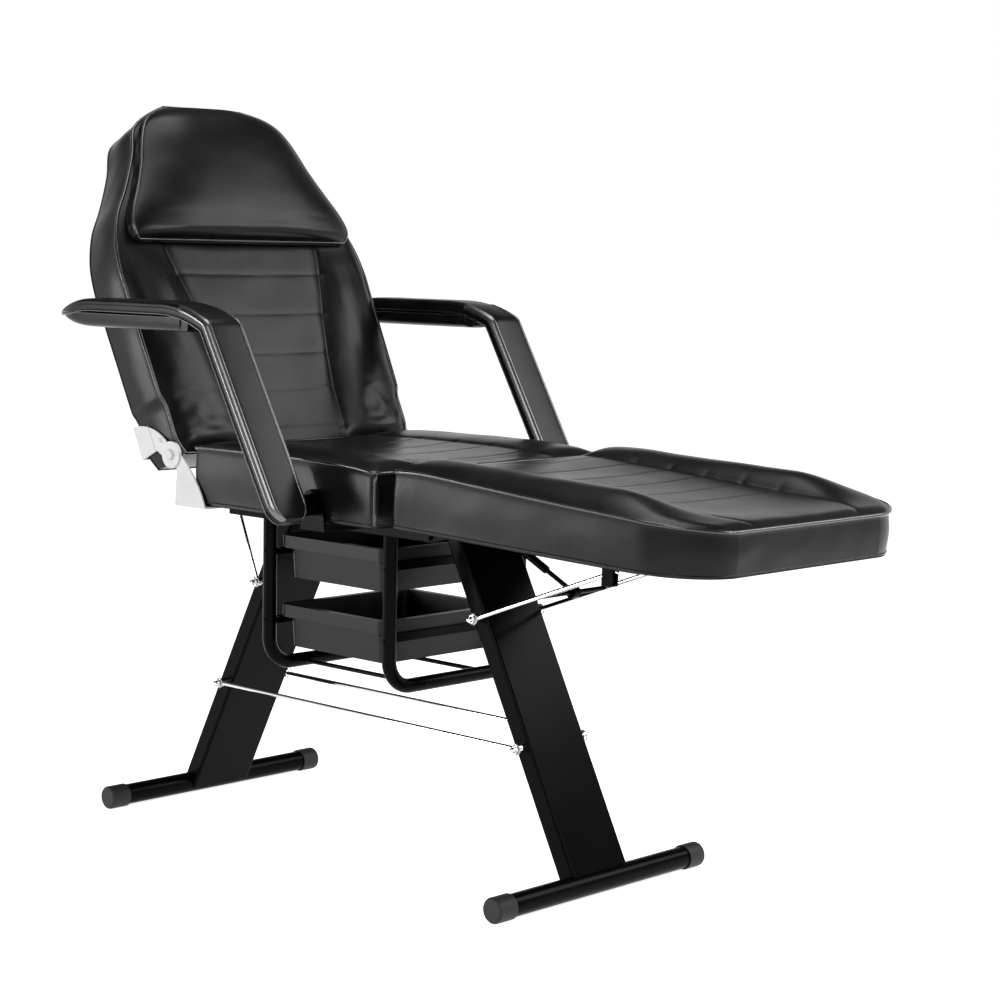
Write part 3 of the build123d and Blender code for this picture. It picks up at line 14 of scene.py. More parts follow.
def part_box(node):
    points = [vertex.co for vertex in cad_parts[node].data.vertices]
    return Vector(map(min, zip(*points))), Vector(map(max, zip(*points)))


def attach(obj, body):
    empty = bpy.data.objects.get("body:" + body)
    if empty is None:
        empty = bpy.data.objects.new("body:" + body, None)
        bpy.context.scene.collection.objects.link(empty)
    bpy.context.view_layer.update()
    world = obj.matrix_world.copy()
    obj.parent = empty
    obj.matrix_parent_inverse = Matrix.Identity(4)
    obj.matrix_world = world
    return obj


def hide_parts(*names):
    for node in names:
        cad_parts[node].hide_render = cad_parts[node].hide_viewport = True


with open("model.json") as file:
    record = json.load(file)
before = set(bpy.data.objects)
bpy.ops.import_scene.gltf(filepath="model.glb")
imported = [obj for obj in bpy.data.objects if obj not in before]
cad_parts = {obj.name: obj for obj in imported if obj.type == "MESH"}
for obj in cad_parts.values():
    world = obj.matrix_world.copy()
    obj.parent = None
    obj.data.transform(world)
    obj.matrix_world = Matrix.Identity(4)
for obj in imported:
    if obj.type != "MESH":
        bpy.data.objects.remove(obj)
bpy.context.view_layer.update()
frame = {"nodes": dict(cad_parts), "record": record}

MM = 0.001
# The seat cushion's rear end, from which places along the chair are measured, in millimetres
SEAT_REAR = round(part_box("seat_cushion")[0][0] / MM, 1)
LOG = logging.getLogger("tattoo_chair")
# The axis that the backrest leans about, and how far it leans back from upright, in degrees
BACK_HINGE = Vector((SEAT_REAR - 11.0, 0.0, 688.0))
BACK_LEAN = 26.0
# How deep a finish's grain and its waves are, as shares of their size
GRAIN_RELIEF = 0.4
WAVE_RELIEF = 0.1
# Between which levels of its noise a finish turns from its plain colour to its worn one
CLOUD_RANGE = (0.35, 0.75)
# The frames that the cloth gets to settle in, and how often its moves are evened out over neighbours
CLOTH_FRAMES = 20
EVENING_PASSES = 4
# How near the outline a cushion's seam may come, and how near it the cover is held, in millimetres
SEAM_MARGIN = 20
SEAM_HOLD = 3.0
# Where the mesh has rows beside each sewn channel, in millimetres from it
CHANNEL_ROWS = (-8.0, -3.6, -1.4, 1.4, 3.6, 8.0)
# The width of the photograph's frame, in pixels
FRAME_PIXELS = 1000.0


class Side(Enum):
    """Which side of the sitter a piece is on; the value is the sign of Y."""

    LEFT = 1
    RIGHT = -1


class Corner(Enum):
    """How a piece of mesh is shaded."""

    ROUND = True
    SHARP = False


def hex_linear(code: str) -> tuple[float, float, float, float]:
    """Turns an sRGB hex colour into the linear colour that the shaders use.

    Args:
        code: Six hex digits, with or without a leading hash sign.

    Returns:
        Red, green, blue and an alpha of one.
    """
    code = code.lstrip("#")
    channels = []
    for start in (0, 2, 4):
        value = int(code[start:start + 2], 16) / 255
        channels.append(value / 12.92 if value <= 0.04045 else ((value + 0.055) / 1.055) ** 2.4)
    return (channels[0], channels[1], channels[2], 1.0)


def smooth(low: float, high: float, value: float) -> float:
    """A soft step.

    Args:
        low: Where the step starts.
        high: Where the step ends.
        value: The place asked for.

    Returns:
        0 before low, 1 after high, and a smooth rise between them.
    """
    share = min(1.0, max(0.0, (value - low) / (high - low)))
    return share * share * (3 - 2 * share)


def table_value(rows: Sequence[tuple[float, float]], place: float) -> float:
    """Reads a smooth curve through the rows of a table.

    Args:
        rows: Pairs of place and value, in rising order of place.
        place: The place asked for.

    Returns:
        The value, on a cubic through the neighbouring rows.
    """
    if place <= rows[0][0]:
        return rows[0][1]
    for index in range(len(rows) - 1):
        left, right = rows[index], rows[index + 1]
        if place <= right[0]:
            span = right[0] - left[0]
            share = (place - left[0]) / span
            before = rows[max(index - 1, 0)]
            after = rows[min(index + 2, len(rows) - 1)]
            slope_in = (right[1] - before[1]) / max(right[0] - before[0], 1e-9) * span
            slope_out = (after[1] - left[1]) / max(after[0] - left[0], 1e-9) * span
            square, cube = share * share, share ** 3
            return (
                (2 * cube - 3 * square + 1) * left[1]
                + (cube - 2 * square + share) * slope_in
                + (3 * square - 2 * cube) * right[1]
                + (cube - square) * slope_out
            )
    return rows[-1][1]


def add_node(
    tree: bpy.types.NodeTree, kind: str, settings: dict | None = None, links: dict | None = None
) -> bpy.types.Node:
    """Adds one shader node with its settings and links.

    Args:
        tree: The node tree that gets the node.
        kind: The node's type name.
        settings: Values of its properties, or of its inputs by name or number.
        links: For an input's name or number, the output socket that feeds it.

    Returns:
        The new node.
    """
    node = tree.nodes.new(kind)
    for key, value in (settings or {}).items():
        if isinstance(key, str) and hasattr(node, key):
            setattr(node, key, value)
        else:
            node.inputs[key].default_value = value
    for key, source in (links or {}).items():
        tree.links.new(source, node.inputs[key])
    return node


def per_size(millimetres: float) -> float:
    """The scale of a pattern whose features are that many millimetres apart."""
    return 1000.0 / millimetres


@dataclass(frozen=True)
class Finish:
    """A surface: what it is made of, how it shines and how fine its texture is."""

    name: str
    colour: str
    worn_colour: str
    roughness: float
    roughness_spread: float
    metallic: float = 0.0
    specular: float = 0.5
    coat: float = 0.0
    coat_roughness: float = 0.1
    grain_mm: float = 2.0
    grain_depth: float = 0.1
    wave_mm: float = 60.0
    wave_depth: float = 0.0
    cells: bool = False
    streaks: bool = False

    def material(self) -> bpy.types.Material:
        """Builds the node material, once per name.

        Returns:
            The material, with its texture nodes and its shader.
        """
        found = bpy.data.materials.get(self.name)
        if found:
            return found
        made = bpy.data.materials.new(self.name)
        made.use_nodes = True
        tree = made.node_tree
        tree.nodes.clear()
        place = add_node(tree, "ShaderNodeTexCoord")
        at = place.outputs["Object"]
        if self.streaks:
            at = add_node(tree, "ShaderNodeMapping", {"Scale": (0.05, 1.0, 1.0)}, {"Vector": at}).outputs[0]
        if self.cells:
            fine = add_node(
                tree, "ShaderNodeTexVoronoi", {"Scale": per_size(self.grain_mm)}, {"Vector": at}
            ).outputs["Distance"]
        else:
            fine = add_node(
                tree, "ShaderNodeTexNoise", {"Scale": per_size(self.grain_mm), "Detail": 3.0}, {"Vector": at}
            ).outputs[0]
        cloud = add_node(
            tree, "ShaderNodeTexNoise", {"Scale": per_size(self.wave_mm), "Detail": 4.0}, {"Vector": at}
        ).outputs[0]
        ramp = add_node(tree, "ShaderNodeValToRGB", None, {0: cloud})
        colours = (self.colour, self.worn_colour)
        for stop, position, colour in zip(ramp.color_ramp.elements, CLOUD_RANGE, colours):
            stop.position = position
            stop.color = hex_linear(colour)
        shine = add_node(
            tree,
            "ShaderNodeMapRange",
            {3: self.roughness - self.roughness_spread, 4: self.roughness + self.roughness_spread},
            {0: cloud},
        ).outputs[0]
        bump = add_node(
            tree,
            "ShaderNodeBump",
            {"Strength": self.grain_depth, "Distance": self.grain_mm * MM * GRAIN_RELIEF},
            {"Height": fine},
        ).outputs[0]
        if self.wave_depth:
            bump = add_node(
                tree,
                "ShaderNodeBump",
                {"Strength": self.wave_depth, "Distance": self.wave_mm * MM * WAVE_RELIEF},
                {"Height": cloud, "Normal": bump},
            ).outputs[0]
        shader = add_node(
            tree,
            "ShaderNodeBsdfPrincipled",
            {
                "Metallic": self.metallic,
                "Specular IOR Level": self.specular,
                "Coat Weight": self.coat,
                "Coat Roughness": self.coat_roughness,
            },
            {"Base Color": ramp.outputs[0], "Roughness": shine, "Normal": bump},
        )
        add_node(tree, "ShaderNodeOutputMaterial", None, {"Surface": shader.outputs[0]})
        made.diffuse_color = hex_linear(self.colour)
        return made


# Artificial leather: PU film on a knitted back, embossed with a fine pebble and wiped to a gloss,
# so it stays near black and breaks its highlights up softly
LEATHERETTE = Finish(
    "pu_leatherette_black", "#060607", "#0c0c0d", 0.29, 0.05, specular=0.17,
    grain_mm=2.2, grain_depth=0.08, wave_mm=70.0, wave_depth=0.04, cells=True,
)
# Piping: the same film pulled tight over a cord, so it is smoother and catches thin bright lines
PIPING = Finish(
    "pu_leatherette_piping", "#0a0a0b", "#151516", 0.24, 0.05, specular=0.5, coat=0.3,
    coat_roughness=0.2, grain_mm=1.6, grain_depth=0.04, wave_mm=25.0, cells=True,
)
# Welt of the arms: the film drawn flat over a firm edge, where a softbox shows as a broad white line
WELT = Finish(
    "pu_leatherette_welt", "#0c0c0d", "#18181a", 0.30, 0.04, specular=1.0, coat=1.0,
    coat_roughness=0.24, grain_mm=1.6, grain_depth=0.03, wave_mm=25.0, cells=True,
)
# Arm covers: the same leatherette over firm foam, a little duller where arms rub it
ARM_LEATHERETTE = Finish(
    "pu_leatherette_arm", "#060607", "#0d0d0e", 0.31, 0.05, specular=0.17,
    grain_mm=2.0, grain_depth=0.08, wave_mm=45.0, wave_depth=0.03, cells=True,
)
# Powder coat: baked polyester on steel tube, with a faint orange peel
POWDER_COAT = Finish(
    "powder_coat_black", "#020203", "#050506", 0.24, 0.05, specular=0.04,
    grain_mm=3.0, grain_depth=0.07, wave_mm=90.0, wave_depth=0.02,
)
# Polished chrome plate on drawn steel: nearly a mirror, with the draw lines just visible
CHROME = Finish(
    "chrome_plate_polished", "#d9dadc", "#c6c8cb", 0.08, 0.03, metallic=1.0,
    grain_mm=2.0, grain_depth=0.02, wave_mm=30.0, streaks=True,
)
# Zinc plate on turned steel: greyer and softer than chrome
ZINC = Finish(
    "zinc_plate_bright", "#a9abad", "#8e9092", 0.30, 0.08, metallic=1.0,
    grain_mm=1.0, grain_depth=0.05, wave_mm=10.0,
)
# Pale grey enamel baked on sheet steel hinge plates
PALE_ENAMEL = Finish(
    "enamel_pale_grey", "#c6c6c6", "#bcbcbb", 0.42, 0.06, specular=0.5,
    grain_mm=2.5, grain_depth=0.06, wave_mm=50.0,
)
# Moulded rubber with a fine matt texture, greyed by dust at the edges
RUBBER = Finish(
    "rubber_moulded_black", "#131314", "#1f1f20", 0.55, 0.08, specular=0.3,
    grain_mm=1.6, grain_depth=0.2, wave_mm=20.0,
)
# ABS, injection moulded with a spark-eroded texture on the trays
ABS = Finish(
    "abs_textured_black", "#080809", "#0f0f10", 0.36, 0.06, specular=0.2,
    grain_mm=1.4, grain_depth=0.15, wave_mm=60.0,
)
# Non-woven black lining tacked under the plywood boards
LINING = Finish(
    "nonwoven_lining_black", "#101011", "#1b1b1b", 0.85, 0.08, specular=0.25,
    grain_mm=1.8, grain_depth=0.4, wave_mm=25.0,
)


@dataclass(frozen=True)
class Placement:
    """Where a piece's own axes lie in the chair: along, across and out from its base."""

    origin: Vector
    along: Vector
    out: Vector

    def point(self, along: float, across: float, out: float) -> Vector:
        """A place given along, across (towards the sitter's left) and out, in millimetres."""
        return (self.origin + self.along * along + Vector((0.0, across, 0.0)) + self.out * out) * MM


def new_mesh(
    name: str,
    points: Sequence[Vector],
    faces: Sequence[Sequence[int]],
    finish: Finish,
    corner: Corner = Corner.ROUND,
) -> bpy.types.Object:
    """Makes a mesh object in the scene.

    Args:
        name: The piece's name.
        points: The corners, in metres.
        faces: The corner numbers of each face.
        finish: What the piece is made of.
        corner: Whether the shading is rounded.

    Returns:
        The new object, with one material and outward faces.
    """
    mesh = bpy.data.meshes.new(name)
    mesh.from_pydata([tuple(point) for point in points], [], [list(face) for face in faces])
    mesh.validate()
    mesh.update()
    made = bpy.data.objects.new(name, mesh)
    bpy.context.scene.collection.objects.link(made)
    mesh.materials.append(finish.material())
    mesh.polygons.foreach_set("use_smooth", [corner.value] * len(mesh.polygons))
    return made


def apply_all(piece: bpy.types.Object) -> None:
    """Replaces a piece's mesh by what its modifiers make of it.

    Args:
        piece: The mesh object, which keeps its name and loses its modifiers.
    """
    graph = bpy.context.evaluated_depsgraph_get()
    graph.update()
    mesh = bpy.data.meshes.new_from_object(piece.evaluated_get(graph), depsgraph=graph)
    old = piece.data
    piece.modifiers.clear()
    piece.data = mesh
    bpy.data.meshes.remove(old)


def subdivide(piece: bpy.types.Object, levels: int = 1) -> None:
    """Adds a subdivision surface and applies it.

    Args:
        piece: The mesh object to round.
        levels: How often each face is divided.
    """
    bend = piece.modifiers.new("round", "SUBSURF")
    bend.levels = levels
    bend.render_levels = levels
    apply_all(piece)


def tube_along(
    name: str, path: Sequence[Vector], radius: float, finish: Finish, closed: bool = False, sides: int = 10
) -> bpy.types.Object:
    """A round cord along a line, such as piping or a bent wire.

    Args:
        name: The piece's name.
        path: Points of the centre line, in metres.
        radius: The cord's radius in millimetres.
        finish: What the cord is made of.
        closed: Whether the line meets itself.
        sides: How many sides the cord has.

    Returns:
        A mesh object.
    """
    count = len(path)
    points: list[Vector] = []
    faces: list[list[int]] = []
    last_side = None
    for index, here in enumerate(path):
        ahead = path[(index + 1) % count] if closed else path[min(index + 1, count - 1)]
        behind = path[index - 1] if closed else path[max(index - 1, 0)]
        run = (ahead - behind).normalized()
        side = last_side if last_side is not None else run.orthogonal()
        side = (side - run * side.dot(run)).normalized()
        last_side = side
        other = run.cross(side)
        for step in range(sides):
            turn = 2 * pi * step / sides
            points.append(here + (side * cos(turn) + other * sin(turn)) * radius * MM)
    rings = count if closed else count - 1
    shift = 0
    if closed:
        first = points[:sides]
        final = points[-sides:]
        shift = min(range(sides), key=lambda turn: (first[turn] - final[0]).length)
    for ring in range(rings):
        for step in range(sides):
            following = (ring + 1) % count
            offset = shift if closed and following == 0 else 0
            faces.append([
                ring * sides + step,
                ring * sides + (step + 1) % sides,
                following * sides + (step + 1 + offset) % sides,
                following * sides + (step + offset) % sides,
            ])
    if not closed:
        faces.append(list(range(sides))[::-1])
        faces.append([(count - 1) * sides + step for step in range(sides)])
    return new_mesh(name, points, faces, finish)


def turned_part(
    name: str,
    centre: Vector,
    axis: Vector,
    profile: Sequence[tuple[float, float]],
    finish: Finish,
    sides: int = 28,
) -> bpy.types.Object:
    """A turned piece, such as a screw head or a washer.

    Args:
        name: The piece's name.
        centre: Its middle, in metres.
        axis: The direction it points in.
        profile: Pairs of distance along the axis and radius, in millimetres.
        finish: What it is made of.
        sides: How many sides it has.

    Returns:
        A mesh object.
    """
    run = axis.normalized()
    side = run.orthogonal().normalized()
    other = run.cross(side)
    points = []
    faces = []
    for depth, radius in profile:
        for step in range(sides):
            turn = 2 * pi * step / sides
            spoke = side * cos(turn) + other * sin(turn)
            points.append(centre + (run * depth + spoke * radius) * MM)
    for ring in range(len(profile) - 1):
        for step in range(sides):
            faces.append([
                ring * sides + step,
                ring * sides + (step + 1) % sides,
                (ring + 1) * sides + (step + 1) % sides,
                (ring + 1) * sides + step,
            ])
    faces.append(list(range(sides))[::-1])
    faces.append([(len(profile) - 1) * sides + step for step in range(sides)])
    return new_mesh(name, points, faces, finish)


def join_pieces(name: str, pieces: Sequence[bpy.types.Object]) -> bpy.types.Object:
    """Joins mesh pieces of one kind into one object.

    Args:
        name: The joined piece's name.
        pieces: The meshes to join, all at the origin.

    Returns:
        One object; the others are removed.
    """
    points: list[Vector] = []
    faces: list[list[int]] = []
    rounded: list[bool] = []
    for piece in pieces:
        base = len(points)
        points.extend(vertex.co.copy() for vertex in piece.data.vertices)
        faces.extend([base + number for number in polygon.vertices] for polygon in piece.data.polygons)
        rounded.extend(polygon.use_smooth for polygon in piece.data.polygons)
    material = pieces[0].data.materials[0]
    mesh = bpy.data.meshes.new(name)
    mesh.from_pydata([tuple(point) for point in points], [], faces)
    mesh.polygons.foreach_set("use_smooth", rounded)
    mesh.materials.append(material)
    for piece in pieces:
        bpy.data.objects.remove(piece)
    made = bpy.data.objects.new(name, mesh)
    bpy.context.scene.collection.objects.link(made)
    return made


def report(piece: bpy.types.Object, body: str, slot: str) -> bpy.types.Object:
    """Rides a new piece on its body and logs it with its material slot.

    Args:
        piece: The new mesh object.
        body: The body that it moves with.
        slot: Its material slot in the record.

    Returns:
        The same object.
    """
    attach(piece, body)
    LOG.info("%s rides on %s as %s", piece.name, body, slot)
    return piece


def settle_cloth(piece: bpy.types.Object, held: Iterable[int], pressure: float, limit: float) -> None:
    """Lets the cover swell over its foam between the seams, with Blender's cloth.

    Args:
        piece: The cushion, with its seams and edges already drawn in.
        held: Numbers of the points that seams, piping and board hold still.
        pressure: How hard the foam pushes.
        limit: The furthest a point may move, in millimetres.
    """
    pins = piece.vertex_groups.new(name="sewn")
    pins.add(list(held), 1.0, "REPLACE")
    before = [vertex.co.copy() for vertex in piece.data.vertices]
    cloth = piece.modifiers.new("cover", "CLOTH")
    cloth.settings.quality = 4
    cloth.settings.mass = 0.5
    cloth.settings.tension_stiffness = 60.0
    cloth.settings.compression_stiffness = 15.0
    cloth.settings.shear_stiffness = 20.0
    cloth.settings.bending_stiffness = 12.0
    cloth.settings.use_pressure = True
    cloth.settings.uniform_pressure_force = pressure
    cloth.settings.vertex_group_mass = "sewn"
    cloth.settings.effector_weights.gravity = 0.0
    cloth.collision_settings.use_collision = False
    cloth.point_cache.frame_start = 1
    cloth.point_cache.frame_end = CLOTH_FRAMES
    scene = bpy.context.scene
    for number in range(1, CLOTH_FRAMES + 1):
        scene.frame_set(number)
    graph = bpy.context.evaluated_depsgraph_get()
    after = [vertex.co.copy() for vertex in piece.evaluated_get(graph).data.vertices]
    piece.modifiers.clear()
    scene.frame_set(1)
    cap = limit * MM
    moves = []
    for old, new in zip(before, after):
        move = new - old
        moves.append(move * min(1.0, cap / max(move.length, 1e-9)))
    pinned = set(held)
    beside: list[list[int]] = [[] for _ in moves]
    for edge in piece.data.edges:
        first, second = edge.vertices
        beside[first].append(second)
        beside[second].append(first)
    for _ in range(EVENING_PASSES):
        evened = []
        for number, (move, others) in enumerate(zip(moves, beside)):
            shared = (move + sum((moves[other] for other in others), Vector())) / (len(others) + 1)
            evened.append(move if number in pinned else shared)
        moves = evened
    for vertex, old, move in zip(piece.data.vertices, before, moves):
        vertex.co = old + move
    piece.vertex_groups.clear()
    piece.data.update()


@dataclass
class Cushion:
    """An upholstered box cushion: a piped top panel, a side band and a flat underside.

    Lengths are in millimetres: along the cushion, across it and out from its underside.
    """

    name: str
    body: str
    node: str
    placement: Placement
    start: float
    end: float
    half_rows: Sequence[tuple[float, float]]
    seam_rows: Sequence[tuple[float, float]]
    height_rows: Sequence[tuple[float, float]]
    rise_rows: Sequence[tuple[float, float]]
    channels: Sequence[float]
    dish: float = 5.0
    sink: float = 2.0
    tuck: float = 3.0
    edge_drop: float = 7.0
    edge_run: float = 26.0
    seam_depth: float = 1.8
    seam_width: float = 5.5
    channel_depth: float = 1.0
    channel_width: float = 2.8
    pucker: float = 1.2
    flare: float = 0.0
    crumple: float = 1.2
    crumple_mm: float = 60.0
    foot_fade: float = 34.0
    wave: float = 1.2
    step: float = 10.0
    piping_radius: float = 3.2
    front_corner: float = 0.0
    rear_corner: float = 0.0
    pressure: float = 3.0
    swell: float = 6.0
    end_run: float = 34.0
    levels: Sequence[float] = (0.06, 0.16, 0.3, 0.45, 0.6, 0.75, 0.88, 0.96, 1.0)

    def half(self, along: float) -> float:
        """Half the cushion's width at a place along it.

        Args:
            along: The place along the cushion.

        Returns:
            The half width, drawn in round the corners.
        """
        wide = table_value(self.half_rows, along)
        for corner, left in ((self.front_corner, self.end - along), (self.rear_corner, along - self.start)):
            if corner and left < corner:
                wide = wide - corner + sqrt(max(corner * corner - (corner - left) ** 2, 0.0))
        return wide

    def seam(self, along: float) -> float:
        """Half the distance between the seams of panel and bolsters, at a place along the cushion."""
        return min(table_value(self.seam_rows, along), self.half(along) - SEAM_MARGIN)

    def height(self, along: float) -> float:
        """How far out the top panel's plane lies at a place along the cushion."""
        return table_value(self.height_rows, along)

    def edge_height(self, along: float) -> float:
        """How far out the piping lies."""
        return self.height(along) - self.edge_drop

    def crease(self, along: float, across: float) -> float:
        """Folds that the pull of the seams leaves, for a cushion to override."""
        return 0.0

    def top(self, along: float, across: float) -> float:
        """The height of the cover over a point of the top panel.

        Args:
            along: The place along the cushion.
            across: The place across it.

        Returns:
            The distance out from the cushion's underside.
        """
        wide, seam = self.half(along), self.seam(along)
        rise = table_value(self.rise_rows, along)
        size = abs(across)
        end_fade = smooth(0, self.end_run, along - self.start) * smooth(0, self.foot_fade, self.end - along)
        if size < seam:
            relief = -self.sink - self.dish * (1 - (size / seam) ** 2)
        else:
            share = (size - seam) / max(wide - seam, 1.0)
            relief = -self.sink * (1 - share) + rise * sin(pi * share ** 0.9)
        edge = min(wide - size, along - self.start, self.end - along)
        place = Vector((along / 75.0, across / 75.0, len(self.name) * 1.7))
        ripple = self.wave * noise.noise(place) * smooth(0, 30, edge)
        pucker = 0.7 * noise.noise(Vector((along / 16.0, across / 16.0, 4.0))) * exp(-edge / 14.0)
        rounding = self.edge_drop * (1 - smooth(0, self.edge_run, edge) ** 0.6)
        plain = self.height(along) + end_fade * relief - rounding + ripple + pucker
        return plain + self.crease(along, across)

    def stitched(self, along: float, across: float) -> float:
        """How deep the stitching draws the cover in at a point of the top panel.

        Args:
            along: The place along the cushion.
            across: The place across it.

        Returns:
            The depth of the seam between panel and bolster, the sewn channels and their puckers.
        """
        seam, size = self.seam(along), abs(across)
        fade = smooth(0, self.end_run, min(along - self.start, self.end - along))
        depth = self.seam_depth * exp(-(((size - seam) / self.seam_width) ** 2))
        near = min((abs(along - place) for place in self.channels), default=1e3)
        if size < seam:
            depth += self.channel_depth * exp(-((near / self.channel_width) ** 2))
        uneven = 0.65 + 0.7 * noise.noise(Vector((along / 31.0, across / 57.0, 8.0)))
        beside = exp(-((near / 8.0) ** 2)) * exp(-(((size - seam - 4.0) / 9.0) ** 2))
        depth += self.pucker * uneven * beside
        return fade * depth

    def rows(self) -> list[float]:
        """The places along the cushion where the mesh has a row of points.

        Returns:
            The places in rising order: evenly spaced, closer round the corners and the channels.
        """
        places = []
        stops = [self.start + self.rear_corner, self.end - self.front_corner]
        count = max(2, round((stops[1] - stops[0]) / self.step))
        places += [stops[0] + (stops[1] - stops[0]) * number / count for number in range(count + 1)]
        for corner, far, way in ((self.rear_corner, self.start, 1), (self.front_corner, self.end, -1)):
            if corner:
                turns = max(4, round(corner * 1.57 / self.step))
                places += [far + way * corner * (1 - sin(pi / 2 * n / turns)) for n in range(1, turns + 1)]
            else:
                places += [far + way * near for near in (3.0, 6.5)]
        for channel in self.channels:
            places = [place for place in places if abs(place - channel) > CHANNEL_ROWS[-1]]
            places += [channel + shift for shift in CHANNEL_ROWS]
        places.sort()
        kept = [places[0]]
        for place in places[1:]:
            if place - kept[-1] > 0.8:
                kept.append(place)
        return kept

    def columns(self) -> list[tuple[int, float]]:
        """The mesh's columns across the cushion.

        Returns:
            For each column its zone (-1 and 1 are the bolsters, 0 the panel) and its share of that zone.
        """
        inner = [-0.97, -0.92] + [-0.86 + 0.086 * number for number in range(21)] + [0.92, 0.97]
        outer = [0.0, 0.03, 0.08, 0.15, 0.24, 0.33, 0.43, 0.53, 0.63, 0.73, 0.82, 0.89, 0.94, 0.975, 1.0]
        left = [(-1, share) for share in reversed(outer)]
        return left + [(0, share) for share in inner] + [(1, share) for share in outer]

    def across(self, along: float, column: tuple[int, float]) -> float:
        """The place across the cushion of a column, in one row.

        Args:
            along: The row's place along the cushion.
            column: The column's zone and its share of that zone.

        Returns:
            The place across the cushion.
        """
        wide, seam = self.half(along), self.seam(along)
        zone, share = column
        return seam * share if zone == 0 else zone * (seam + (wide - seam) * share)

    def build(self) -> bpy.types.Object:
        """Builds the cushion, its cloth swell and its piping.

        Returns:
            The cushion's object.
        """
        rows, columns = self.rows(), self.columns()
        width = len(columns)
        plan: list[tuple[float, float]] = []
        points: list[Vector] = []
        for along in rows:
            for column in columns:
                across = self.across(along, column)
                plan.append((along, across))
                points.append(self.placement.point(along, across, self.top(along, across)))
        faces = [
            [row * width + col, row * width + col + 1, (row + 1) * width + col + 1, (row + 1) * width + col]
            for row in range(len(rows) - 1)
            for col in range(width - 1)
        ]
        last = len(rows) - 1
        rim = list(range(width))
        rim += [row * width + width - 1 for row in range(1, last + 1)]
        rim += [last * width + col for col in range(width - 2, -1, -1)]
        rim += [row * width for row in range(last - 1, 0, -1)]
        normals = self.rim_normals([plan[number] for number in rim])
        previous = rim
        for level in self.levels:
            ring = []
            for number, (outward_along, outward_across) in zip(rim, normals):
                along, across = plan[number]
                top = self.edge_height(along)
                place = Vector((along / self.crumple_mm, across / self.crumple_mm, level * 3.0))
                bulge = self.tuck * (sin(pi * level) - 1.0) + self.flare * level
                bulge += self.crumple * noise.noise(place) * sin(pi * level)
                ring.append(len(points))
                points.append(self.placement.point(
                    along + outward_along * bulge, across + outward_across * bulge, top * (1 - level)
                ))
            count = len(rim)
            faces += [
                [previous[n], ring[n], ring[(n + 1) % count], previous[(n + 1) % count]]
                for n in range(count)
            ]
            previous = ring
        base = len(points)
        for along in rows[1:-1]:
            for column in columns[1:-1]:
                points.append(self.placement.point(along, self.across(along, column) * 0.99, 0.0))
        lookup = dict(zip(rim, previous))

        def under(row: int, col: int) -> int:
            """The number of an underside point, shared with the band round the edge.

            Args:
                row: The point's row.
                col: The point's column.

            Returns:
                Its number in the mesh.
            """
            if row in (0, last) or col in (0, width - 1):
                return lookup[row * width + col]
            return base + (row - 1) * (width - 2) + col - 1

        faces += [
            [under(row, col), under(row + 1, col), under(row + 1, col + 1), under(row, col + 1)]
            for row in range(last)
            for col in range(width - 1)
        ]
        cover = new_mesh(self.name, points, faces, LEATHERETTE)
        held = set(rim) | set(previous) | set(range(base, len(points)))
        for number, (along, across) in enumerate(plan):
            if self.seam_depth and abs(abs(across) - self.seam(along)) < SEAM_HOLD:
                held.add(number)
        settle_cloth(cover, held, self.pressure, self.swell)
        for number, (along, across) in enumerate(plan):
            cover.data.vertices[number].co -= self.placement.out * self.stitched(along, across) * MM
        subdivide(cover)
        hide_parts(self.node)
        report(cover, self.body, "black_upholstery")
        self.pipe(rim, plan, normals)
        return cover

    def rim_normals(self, loop: Sequence[tuple[float, float]]) -> list[tuple[float, float]]:
        """Outward directions along the cushion's outline, seen from above.

        Args:
            loop: The outline's points, along and across.

        Returns:
            A unit direction, along and across, for each point.
        """
        count = len(loop)
        result = []
        for index in range(count):
            before, after = loop[index - 1], loop[(index + 1) % count]
            run = (after[0] - before[0], after[1] - before[1])
            size = hypot(*run) or 1.0
            result.append((-run[1] / size, run[0] / size))
        middle = (sum(p[0] for p in loop) / count, sum(p[1] for p in loop) / count)
        first = loop[0]
        if (first[0] - middle[0]) * result[0][0] + (first[1] - middle[1]) * result[0][1] < 0:
            result = [(-a, -b) for a, b in result]
        return result

    def pipe(
        self, rim: Sequence[int], plan: Sequence[tuple[float, float]], normals: Sequence[tuple[float, float]]
    ) -> None:
        """Lays the piping cord round the top panel's edge and, thinner, round the underside.

        Args:
            rim: The numbers of the top panel's outermost points.
            plan: Each top point's place along and across.
            normals: The outline's outward direction at each rim point.
        """
        for label, out_of, radius, inset, finish in (
            ("piping", self.edge_height, self.piping_radius, -0.6, PIPING),
            ("hem", lambda along: 4.0, self.piping_radius * 0.55, self.flare - self.tuck, LEATHERETTE),
        ):
            path = []
            for number, (outward_along, outward_across) in zip(rim, normals):
                along, across = plan[number]
                path.append(self.placement.point(
                    along + outward_along * inset, across + outward_across * inset, out_of(along)
                ))
            cord = tube_along(self.name + "_" + label, path, radius, finish, closed=True)
            report(cord, self.body, "black_upholstery")


